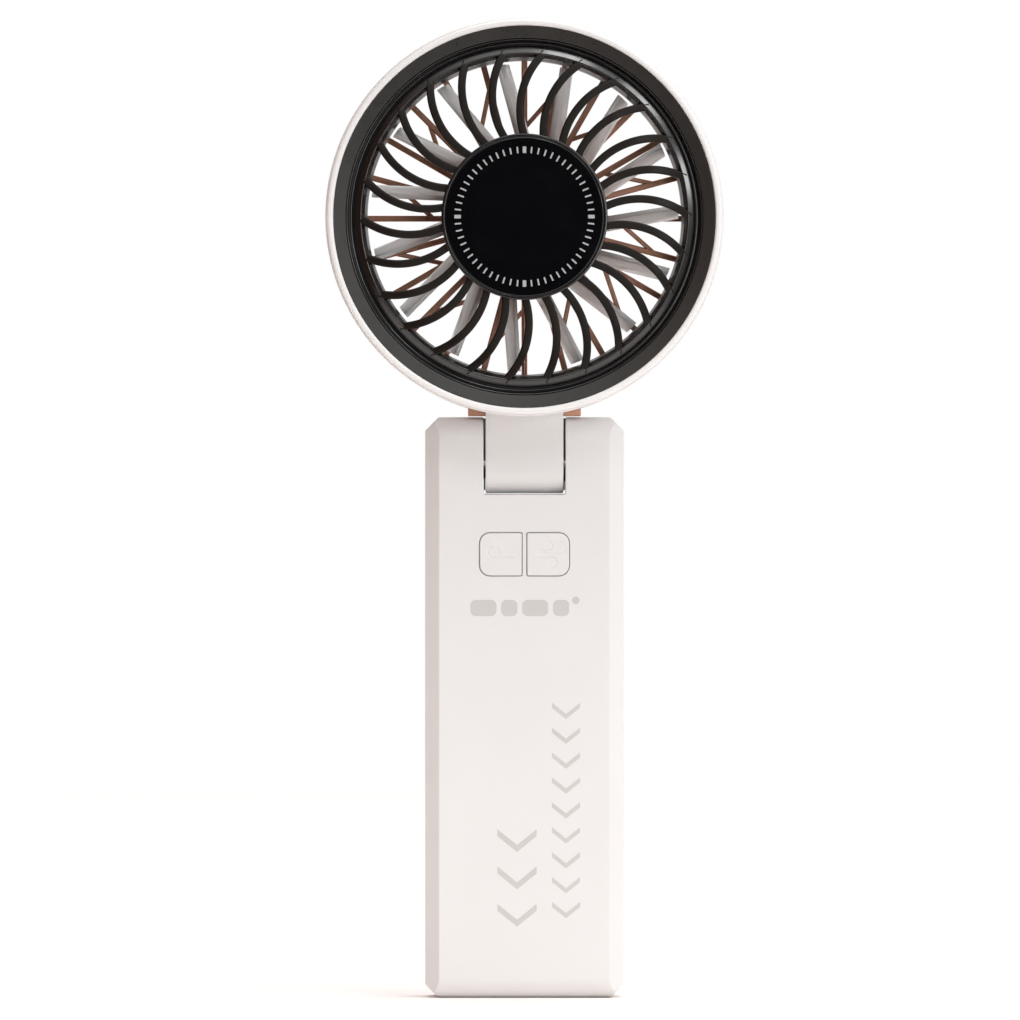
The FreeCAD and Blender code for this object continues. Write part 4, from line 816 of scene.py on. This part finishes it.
def shroud():
    tail = THROAT_RADIUS + DUCT_FLARE
    flange = GRILLE_BACK + DUCT_FLANGE
    outer = THROAT_RADIUS + DUCT_WALL
    inside = bow((RING_INNER, GRILLE_BACK), (THROAT_RADIUS, THROAT_Y))
    inside += list(reversed(bow((tail, DUCT_END), (THROAT_RADIUS, THROAT_Y))))[1:]
    outside = bow((tail + SKIRT, DUCT_END), (outer, THROAT_Y))
    outside += list(reversed(bow((RING_INNER + SKIRT, flange), (outer, THROAT_Y))))[1:]
    lip = [Vector((SHELL_INNER, flange)), Vector((SHELL_INNER, GRILLE_BACK))]
    return turned("shroud", inside + outside + lip)


# ---- hub display

def hub_ring():
    front = span("display_ring")[0].y
    recess = HUB_RADIUS - HUB_WALL
    return turned("hub_ring", [
        (LENS_RADIUS, front, 0.08),
        (HUB_RADIUS, front, 0.25),
        (HUB_RADIUS, HUB_FRONT, 0.06),
        (recess, HUB_FRONT),
        (recess, LENS_BACK),
        (LENS_RADIUS, LENS_BACK),
    ])


def hub_lens():
    rim = LENS_RADIUS - 0.03
    return turned("hub_lens", [
        (0, LENS_BACK),
        (rim, LENS_BACK),
        (rim, LENS_FRONT, 0.3),
        (0, LENS_FRONT),
    ])


def dial_marks():
    """A plain scale of sixty strokes round the lens, with the four quarters drawn wider."""
    count, inner, outer, bold, plain, soft = 60, 13.6, 15.0, 0.38, 0.17, 0.1
    marks = []
    for step in range(count):
        half = plain if step % (count // 4) else bold
        stroke_outline = rectangle(-half, half, inner, outer, soft)
        outline = [Vector(turned_by(point, 360 / count * step)) for point in stroke_outline]
        marks.append(prism("mark", outline, on_head, LENS_FRONT - PROUD, LENS_FRONT + PROUD))
    return gather("dial_marks", marks)


# ---- impeller

def blade_section(level):
    """The blade's rounded, cambered section at a height above the axis, in (x, y)."""
    share = (level - BLADE_FOOT) / (IMPELLER_RADIUS + 0.2 - BLADE_FOOT)
    middle = BLADE_SWEEP * share
    lean = ROOT_LEAN + (TIP_LEAN - ROOT_LEAN) * share
    front, back = BLADE_FRONT + HUB_SKIN, BLADE_BACK - BLADE_SHORT
    chord = hypot(2 * lean, back - front)
    rise = BLADE_CAMBER - sqrt(BLADE_CAMBER ** 2 - chord ** 2 / 4)
    steps, half = 10, BLADE_THICK / 2
    corners = []
    for side in (1, -1):
        for step in range(steps + 1):
            along = step / steps if side > 0 else 1 - step / steps
            bulge = rise * 4 * along * (1 - along)
            x = middle - lean + 2 * lean * along + bulge + side * half
            radius = half * BLADE_NOSE if along in (0, 1) else 0
            corners.append((x, front + (back - front) * along, radius))
    return soften(corners, steps=4)


def blade(turn):
    levels = 9
    tip = IMPELLER_RADIUS + 0.4  # past the wheel's edge, where fan_wheel trims it
    rings = []
    for step in range(levels + 1):
        level = BLADE_FOOT + (tip - BLADE_FOOT) * step / levels
        ring = []
        for x, y in blade_section(level):
            face_x, face_z = turned_by((x, level), turn)
            ring.append((face_x, y, HEAD_Z + face_z))
        rings.append(ring)
    return layered("blade", rings)


def fan_wheel():
    inner = BELL_RADIUS + FIT_GAP
    hub = turned("fan_wheel", [
        (0, BLADE_FRONT),
        (0, BLADE_FRONT + HUB_SKIN),
        (inner, BLADE_FRONT + HUB_SKIN),
        (inner, BLADE_BACK),
        (IMPELLER_HUB, BLADE_BACK, 0.3),
        (IMPELLER_HUB, BLADE_FRONT, HUB_SOFT),
    ])
    blades = [blade(BLADES_TURNED + 360 / BLADES * step) for step in range(BLADES)]
    wheel = fuse(hub, gather("blades", blades))
    reach = rod(on_head, BLADE_FRONT - PAST, BLADE_BACK + PAST, IMPELLER_RADIUS, AROUND)
    return keep_common(wheel, reach)


# ---- rear guard

def guard_bar(start, stop, width, front, back):
    """A straight bar with soft edges between two points on the head's face."""
    start, stop = Vector(start), Vector(stop)
    along = (stop - start).normalized()
    beside = Vector((-along.y, 0, along.x))
    section = rectangle(-width / 2, width / 2, front, back, BAR_ROUND)
    stations = []
    for point in (start, stop):
        stations.append((Vector((point.x, 0, HEAD_Z + point.y)), beside, Vector((0, 1, 0))))
    return swept("bar", stations, section)


def intake_guard():
    back, outer = HEAD_BACK, SHELL_INNER - FIT_GAP
    plate = turned("intake_guard", [
        (0, back - GUARD_PLATE),
        (GUARD_HUB, back - GUARD_PLATE, 0.2),
        (GUARD_HUB, back, 0.4),
        (0, back),
    ])
    ring = turned("ring", [
        (GUARD_RING, GUARD_FRONT, 0.2),
        (outer, GUARD_FRONT),
        (outer, back, 0.2),
        (GUARD_RING, back, 0.4),
    ])
    pitch = 360 / SPOKES
    front = GUARD_FRONT + BAR_FRONT
    spokes = []
    struts = []
    for step in range(SPOKES):
        near, far = polar(GUARD_HUB - PAST, pitch * step), polar(GUARD_RING + PAST, pitch * step)
        spokes.append(guard_bar(near, far, SPOKE_WIDTH, front, back))
    for step in range(0, SPOKES, 2):
        near, far = polar(STRUT_INNER, pitch * step), polar(STRUT_OUTER, pitch * (step + 1))
        struts.append(guard_bar(near, far, STRUT_WIDTH, front + STRUT_INSET, back - STRUT_INSET))
    guard = fuse(gather("intake_guard", [plate, ring]), gather("spokes", spokes), gather("struts", struts))
    holes = []
    deep, around = 3, 40
    for count, first, reach, shank, head, sink in GUARD_SCREWS:
        hole = [
            (0, back - deep),
            (shank, back - deep),
            (shank, back - sink),
            (head, back - sink),
            (head, back + PAST),
            (0, back + PAST),
        ]
        for step in range(count):
            x, z = polar(reach, first + 360 / count * step)
            holes.append(turned("hole", hole, at_point(x, HEAD_Z + z), around))
    return carve(guard, gather("holes", holes))


# ---- printed marks

def print_plate(outline):
    return prism("print", outline, along_y, -HALF_DEPTH - PROUD, -HALF_DEPTH + PROUD)


def pill_row():
    """A plain row of pills and a dot below the buttons, in place of a name."""
    x, z, half, bend, gap = -11.6, 83.6, 1.75, 1.2, 1.0
    dot, dot_x, dot_drop, dot_steps = 0.8, 0.4, 0.1, 24
    plates = []
    for wide in (5.6, 3.5, 5.6, 3.5):
        plates.append(print_plate(rectangle(x, x + wide, z - half, z + half, bend)))
        x += wide + gap
    circle = arc_points((x + dot_x, z + half - dot_drop), dot, 0, 360, dot_steps)[:-1]
    plates.append(print_plate(circle))
    return gather("pill_row_print", plates)


def chevron(x, z, wide, tall, thick):
    """One downward arrow head."""
    left, right = x - wide / 2, x + wide / 2
    upper = [(left, z), (x, z - tall), (right, z)]
    lower = [(right, z - thick), (x, z - tall - thick), (left, z - thick)]
    return [Vector(point) for point in upper + lower]


def chevron_columns():
    """Two columns of arrow heads down the handle, in place of a slogan."""
    plates = []
    for x, wide, tall, thick, top, bottom, count in (
        (8.9, 6.0, 2.4, 1.1, 63.3, 20.6, 9),
        (-1.6, 8.4, 3.4, 1.5, 36.2, 20.2, 3),
    ):
        for step in range(count):
            z = top + (bottom - top) * step / (count - 1)
            plates.append(print_plate(chevron(x, z, wide, tall, thick)))
    return gather("chevron_print", plates)


# ---- materials

def plug(node, **sockets):
    """Give a node's sockets values or other nodes' outputs. In a name, _ stands for a space."""
    for name, value in sockets.items():
        socket = node.inputs[name.replace("_", " ")]
        if isinstance(value, bpy.types.NodeSocket):
            node.id_data.links.new(value, socket)
        else:
            socket.default_value = value
    return node


def add_node(tree, kind, **sockets):
    return plug(tree.nodes.new("ShaderNode" + kind), **sockets)


def vector_math(tree, operation, first, second):
    """The value of a vector operation on a node's output and a fixed vector."""
    node = add_node(tree, "VectorMath")
    node.operation = operation
    tree.links.new(first, node.inputs[0])
    node.inputs[1].default_value = second
    return node.outputs["Value"]


class Finish:
    """A node material on object coordinates, which are metres in the row frame."""

    def __init__(self, name):
        self.material = bpy.data.materials.new(name)
        self.material.use_nodes = True
        self.tree = self.material.node_tree
        self.shader = self.tree.nodes["Principled BSDF"]
        self.place = add_node(self.tree, "TexCoord").outputs["Object"]

    def set(self, **sockets):
        plug(self.shader, **sockets)
        return self

    def stretched(self, scale):
        return add_node(self.tree, "Mapping", Vector=self.place, Scale=scale).outputs["Vector"]

    def noise(self, scale, detail=3.0, place=None):
        place = place or self.place
        return add_node(self.tree, "TexNoise", Vector=place, Scale=scale, Detail=detail).outputs["Fac"]

    def bands(self, scale, direction):
        node = add_node(self.tree, "TexWave", Vector=self.place, Scale=scale, Distortion=0.4)
        node.bands_direction = direction
        return node.outputs["Fac"]

    def map_range(self, source, near, far, low=0.0, high=1.0):
        """Low where the source is near and high where it is far."""
        ends = {"From_Min": near, "From_Max": far, "To_Min": low, "To_Max": high}
        return add_node(self.tree, "MapRange", Value=source, **ends).outputs["Result"]

    def from_axis(self, near, far):
        """A share that rises from 0 to 1 with the distance from the head's axis, in millimetres."""
        axis = (0, 0, HEAD_Z * MM)
        away = vector_math(self.tree, "DISTANCE", self.stretched((1, 0, 1)), axis)
        return self.map_range(away, near * MM, far * MM)

    def colour(self, source, *stops):
        """Base colour from a source, through a ramp of (position, colour) stops."""
        node = add_node(self.tree, "ValToRGB", Fac=source)
        for element, (position, colour) in zip(node.color_ramp.elements, stops):
            element.position = position
            element.color = (*colour, 1)
        return self.set(Base_Color=node.outputs["Color"])

    def roughness(self, source, low, high):
        return self.set(Roughness=self.map_range(source, 0.3, 0.7, low, high))

    def bump(self, source, strength, distance):
        node = add_node(self.tree, "Bump", Height=source, Strength=strength, Distance=distance)
        return self.set(Normal=node.outputs["Normal"])


def shade(colour, factor):
    return tuple(min(channel * factor, 1) for channel in colour)


def moulded(name, colour, rough, grain=4200, height=0.000012, spread=0.03):
    """Moulded plastic: a faint drift in tone, a fine spark-eroded grain and uneven gloss."""
    finish = Finish(name)
    finish.colour(finish.noise(45, 2), (0.3, shade(colour, 1 - spread)), (0.7, shade(colour, 1 + spread)))
    finish.roughness(finish.noise(220), rough - 0.04, rough + 0.05)
    return finish.bump(finish.noise(grain, 2), 0.25, height)


def polished_black():
    """Black moulding polished to a strong shine."""
    finish = moulded("polished_black", (0.007, 0.006, 0.006), 0.17, height=0.000002, spread=0.1)
    return finish.set(Specular_IOR_Level=0.9)


def matt_black():
    """Brown-black moulding with little shine."""
    finish = moulded("brown_black", (0.0125, 0.0095, 0.0075), 0.34, height=0.000004, spread=0.1)
    return finish.set(Specular_IOR_Level=0.2)


def brushed(name, colour, rough, direction, metallic=1.0):
    """Metal with fine tool marks drawn out along one axis."""
    finish = Finish(name).set(Metallic=metallic)
    marks = finish.noise(1, 4, finish.stretched(direction))
    finish.colour(marks, (0.3, shade(colour, 0.8)), (0.7, shade(colour, 1.15)))
    finish.roughness(marks, rough - 0.08, rough + 0.1)
    return finish.bump(marks, 0.2, 0.00001)


def copper_tone_and_painted_bounce():
    """Metallic copper colour: bright flakes in a warm base, with a clear coat. On the neck wedges this
    copper is painted light: orange bounce light in the shade under the head, on plastic that is white.
    """
    finish = Finish("copper_tone_and_painted_bounce").set(Metallic=0.75, Coat_Weight=0.3, Coat_Roughness=0.2)
    flakes = finish.noise(9000, 1)
    finish.colour(flakes, (0.35, (0.46, 0.22, 0.14)), (0.65, (0.66, 0.36, 0.25)))
    finish.roughness(finish.noise(500), 0.32, 0.45)
    return finish.bump(flakes, 0.15, 0.00001)


def milky_blade():
    """Milky translucent plastic that lets light through, with painted shade and a painted warm reflection
    turning it brown towards the hub.
    """
    finish = moulded("milky_blade", (0.9, 0.88, 0.87), 0.32, grain=2500, height=0.000006)
    # the brown colour near the hub is painted shade and a painted reflection of the copper parts
    shaded_root, tip = (0.50, 0.405, 0.365), (0.97, 0.96, 0.955)
    finish.colour(finish.from_axis(IMPELLER_HUB, IMPELLER_RADIUS), (0, shaded_root), (0.8, tip))
    return finish.set(Transmission_Weight=0.45, IOR=1.49, Coat_Weight=0.2, Coat_Roughness=0.15)


def wire():
    """Wound enamelled wire: rounded turns side by side."""
    finish = Finish("wound_wire").set(Metallic=0.9, Coat_Weight=0.6, Coat_Roughness=0.1)
    turns = finish.bands(900, "Z")
    finish.colour(turns, (0.1, (0.25, 0.07, 0.02)), (0.8, (0.75, 0.32, 0.13)))
    finish.roughness(finish.noise(800), 0.25, 0.4)
    return finish.bump(turns, 0.8, 0.0001)


def circuit():
    """Solder mask over copper tracks."""
    finish = Finish("solder_mask").set(Coat_Weight=0.4, Coat_Roughness=0.2)
    tracks = add_node(finish.tree, "TexBrick", Vector=finish.place, Scale=260, Mortar_Size=0.03)
    dark, mid, light = (0.012, 0.11, 0.05, 1), (0.018, 0.14, 0.07, 1), (0.05, 0.24, 0.12, 1)
    plug(tracks, Color1=dark, Color2=mid, Mortar=light)
    finish.set(Base_Color=tracks.outputs["Color"])
    finish.roughness(finish.noise(400), 0.3, 0.42)
    return finish.bump(tracks.outputs["Fac"], 0.4, 0.00003)


def sleeve():
    """Shrink sleeve over a cell: glossy film with faint wrinkles."""
    finish = Finish("shrink_sleeve").set(Coat_Weight=0.8, Coat_Roughness=0.08)
    wrinkles = finish.noise(1, 3, finish.stretched((500, 500, 90)))
    finish.colour(wrinkles, (0.3, (0.03, 0.19, 0.33)), (0.7, (0.05, 0.26, 0.42)))
    finish.roughness(wrinkles, 0.25, 0.4)
    return finish.bump(wrinkles, 0.3, 0.00004)


def ceramic():
    finish = Finish("ceramic")
    grains = finish.noise(6000, 2)
    finish.colour(grains, (0.3, (0.36, 0.25, 0.15)), (0.7, (0.52, 0.38, 0.24)))
    finish.roughness(grains, 0.45, 0.6)
    return finish.bump(grains, 0.2, 0.00001)


WARM_WHITE = (0.815, 0.81, 0.808)
FINISHES = {
    "white_shell": moulded("satin_white", WARM_WHITE, 0.42, spread=0.012),
    # the ring gets a lighter white than the shell as painted light: the two are one white, and the extra
    # lightness brightens the ring where the lamps leave it dimmer
    "white_ring": moulded("semi_gloss_white_painted_bright", (0.94, 0.935, 0.93), 0.26, height=0.000004, spread=0.01),
    "white_button": moulded("button_white", WARM_WHITE, 0.40, spread=0.012),
    "grey_bezel": moulded("satin_dark_grey", (0.030, 0.028, 0.026), 0.3, height=0.000006, spread=0.08),
    "black_gloss": polished_black(),
    "black_grille": matt_black(),
    "lens_black": moulded("smoked_lens", (0.0032, 0.0030, 0.0038), 0.05, height=0.000001, spread=0.1),
    "blade_plastic": milky_blade(),
    "copper_trim": copper_tone_and_painted_bounce(),
    "steel": brushed("machined_steel", (0.55, 0.55, 0.56), 0.3, (300, 6000, 300)),
    "dark_steel": brushed("black_oxide", (0.10, 0.10, 0.11), 0.38, (4000, 4000, 700)),
    "magnet": brushed("sintered_magnet", (0.20, 0.20, 0.21), 0.45, (2500, 2500, 2500)),
    "copper_wire": wire(),
    "bronze": brushed("oiled_bronze", (0.58, 0.40, 0.20), 0.34, (5000, 800, 800)),
    "nickel": brushed("nickel_strip", (0.65, 0.63, 0.60), 0.3, (300, 300, 5000)),
    "cell_sleeve": sleeve(),
    "black_plastic": moulded("black_moulding", (0.028, 0.028, 0.029), 0.45, spread=0.1),
    "board": circuit(),
    "chip": moulded("component_package", (0.02, 0.02, 0.022), 0.5, grain=7000, height=0.00001, spread=0.15),
    "capacitor": ceramic(),
    "lead": moulded("soft_lead", (0.045, 0.045, 0.05), 0.55, grain=3000, spread=0.12),
}
PRINT = moulded("grey_print", (0.62, 0.605, 0.595), 0.5, grain=6000, height=0.000004, spread=0.04)
DIAL_PRINT = moulded("pale_print", (0.46, 0.465, 0.485), 0.45, grain=6000, height=0.000004, spread=0.04)
OTHER_FINISH = {"head_lead": "copper_trim"}  # the lead's jacket matches the guard it runs along


# ---- putting the pieces on the frame

def smooth(item):
    for polygon in item.data.polygons:
        polygon.use_smooth = True
    item.data.set_sharp_from_angle(angle=SHARP)
    level = item.modifiers.new("level_faces", "WEIGHTED_NORMAL")
    level.keep_sharp = True


def dress(item, body, finish):
    """Gives a finished piece its finish and its body."""
    smooth(item)
    item.data.materials.clear()
    item.data.materials.append(finish.material)
    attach(item, body)


def fit(item, body, slot, *nodes):
    """Puts a piece in place of the CAD nodes that it stands for."""
    dress(item, body, FINISHES[slot])
    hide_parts(*nodes)


fit(front_shell(), "handle", "white_shell", "front_shell")
fit(rear_shell(), "handle", "white_shell", "rear_shell")
fit(button("left_cap", -1, BREEZE), "left_button", "white_button", "left_button")
fit(button("right_cap", 1, GALE), "right_button", "white_button", "right_button")
arm_rear, arm_front = arm_pieces()
fit(arm_rear, "head", "white_shell", "arm_body")
fit(arm_front, "head", "white_shell", "arm_cover")
# the neck wedges take the copper finish as painted light: orange bounce light in the shade under the head,
# on a neck of white plastic
fit(neck_wedges(), "head", "copper_trim", "neck_gussets")
fit(head_casing(), "head", "white_shell", "head_shell")
fit(trim_ring(), "head", "white_ring", "front_ring")
fit(dark_bezel(), "head", "grey_bezel", "front_bezel")
fit(grille(), "head", "black_grille", "front_grille")
fit(grille_ring(), "head", "black_gloss", "front_grille")
fit(shroud(), "head", "black_grille", "duct")
fit(hub_ring(), "head", "black_gloss", "display_ring")
fit(hub_lens(), "head", "lens_black", "display_lens")
fit(intake_guard(), "head", "copper_trim", "rear_guard")
fit(fan_wheel(), "impeller", "blade_plastic", "impeller")
dress(dial_marks(), "head", DIAL_PRINT)
dress(pill_row(), "handle", PRINT)
dress(chevron_columns(), "handle", PRINT)

for name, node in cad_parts.items():
    slot = OTHER_FINISH.get(name) or node.data.materials[0].name
    node.data.materials.clear()
    node.data.materials.append(FINISHES[slot].material)


# ---- studio

SKY_BELOW = (0.3, 0.292, 0.288)
# soft zones of the surroundings: a direction, the cosines from it where one starts and is full, a colour
SKY_ZONES = [
    ((0, 0, 1), -0.3, 0.5, (0.84, 0.84, 0.835)),
    ((0, 0, 1), 0.5, 0.95, (2.3, 2.28, 2.26)),
    ((-1, 0, -0.1), 0.0, 0.7, (0.16, 0.06, 0.03)),
    ((0.9, -0.1, 0.25), 0.5, 0.95, (0.5, 0.5, 0.495)),
    ((0, 1, 0), 0.4, 0.9, (1.05, 1.03, 1.02)),
    ((0, -1, -0.3), 0.76, 0.9, (0.01, 0.01, 0.01)),
]
KEY_COLOUR, FILL_COLOUR = (1, 0.995, 0.99), (1, 0.995, 0.985)


def studio_floor():
    reach, front = 3.0, -0.3
    mesh = bpy.data.meshes.new("floor")
    corners = [(-reach, front, 0), (reach, front, 0), (reach, reach, 0), (-reach, reach, 0)]
    mesh.from_pydata(corners, [], [(0, 1, 2, 3)])
    floor = add_object("floor", mesh)
    finish = Finish("pale_floor")
    finish.colour(finish.noise(3, 2), (0.3, (0.965, 0.915, 0.895)), (0.7, (0.975, 0.925, 0.905)))
    finish.roughness(finish.noise(30), 0.7, 0.8)
    floor.data.materials.append(finish.material)


def area_light(name, place, aim, size, power, colour):
    data = bpy.data.lights.new(name, "AREA")
    data.size = size
    data.energy = power
    data.color = colour
    lamp = add_object(name, data)
    lamp.location = place
    lamp.rotation_euler = (Vector(aim) - Vector(place)).to_track_quat("-Z", "Y").to_euler()
    lamp.visible_camera = False


def studio_lamps():
    """Three small lamps in an arc above and beside the head, and a larger one in front."""
    head, handle = (0, 0, HEAD_Z * MM), (0, 0, 0.12)
    reach, ahead, size, power = 0.9, -0.8, 0.22, 1.15
    for turn in (15, 45, 75):
        across, up = polar(reach, turn)
        area_light(f"key_{turn}", (across, ahead, up + HEAD_Z * MM), head, size, power, KEY_COLOUR)
    area_light("fill", (0.32, -1.2, 0.13), handle, 0.4, 1.9, FILL_COLOUR)


def zone_share(tree, direction, start, full):
    """A share that rises from 0 to 1 as the heading nears a direction."""
    heading = add_node(tree, "TexCoord").outputs["Generated"]
    near = vector_math(tree, "DOT_PRODUCT", heading, Vector(direction).normalized())
    ease = add_node(tree, "MapRange", Value=near, From_Min=start, From_Max=full)
    ease.interpolation_type = "SMOOTHSTEP"
    return ease.outputs["Result"]


def studio_sky():
    """A white backdrop for the camera, and soft zones around the object for light and gloss."""
    world = bpy.data.worlds.new("studio")
    bpy.context.scene.world = world
    world.use_nodes = True
    tree = world.node_tree
    tree.nodes.clear()
    light = None
    for direction, start, full, colour in SKY_ZONES:
        mix = add_node(tree, "Mix")
        mix.data_type = "RGBA"
        share, base, over = mix.inputs[0], mix.inputs[6], mix.inputs[7]
        tree.links.new(zone_share(tree, direction, start, full), share)
        base.default_value = (*SKY_BELOW, 1)
        if light:
            tree.links.new(light, base)
        over.default_value = (*colour, 1)
        light = mix.outputs[2]
    surroundings = add_node(tree, "Background", Color=light)
    backdrop = add_node(tree, "Background", Color=(1, 1, 1, 1))
    choice = add_node(tree, "MixShader", Fac=add_node(tree, "LightPath").outputs["Is Camera Ray"])
    tree.links.new(surroundings.outputs[0], choice.inputs[1])
    tree.links.new(backdrop.outputs[0], choice.inputs[2])
    add_node(tree, "OutputWorld", Surface=choice.outputs[0])


def studio_camera():
    """A long lens far in front of the object, level with its middle, as for a catalogue picture."""
    distance, frame_width, across, up = 4.0, 0.2186, -0.0031, 0.1046
    data = bpy.data.cameras.new("camera")
    data.sensor_width = 36
    data.lens = data.sensor_width * distance / frame_width
    data.clip_end = 50
    camera = add_object("camera", data)
    camera.location = (across, -HALF_DEPTH * MM - distance, up)
    camera.rotation_euler = (pi / 2, 0, 0)
    bpy.context.scene.camera = camera


studio_floor()
studio_sky()
studio_camera()
studio_lamps()
bpy.context.scene.view_settings.view_transform = "Standard"
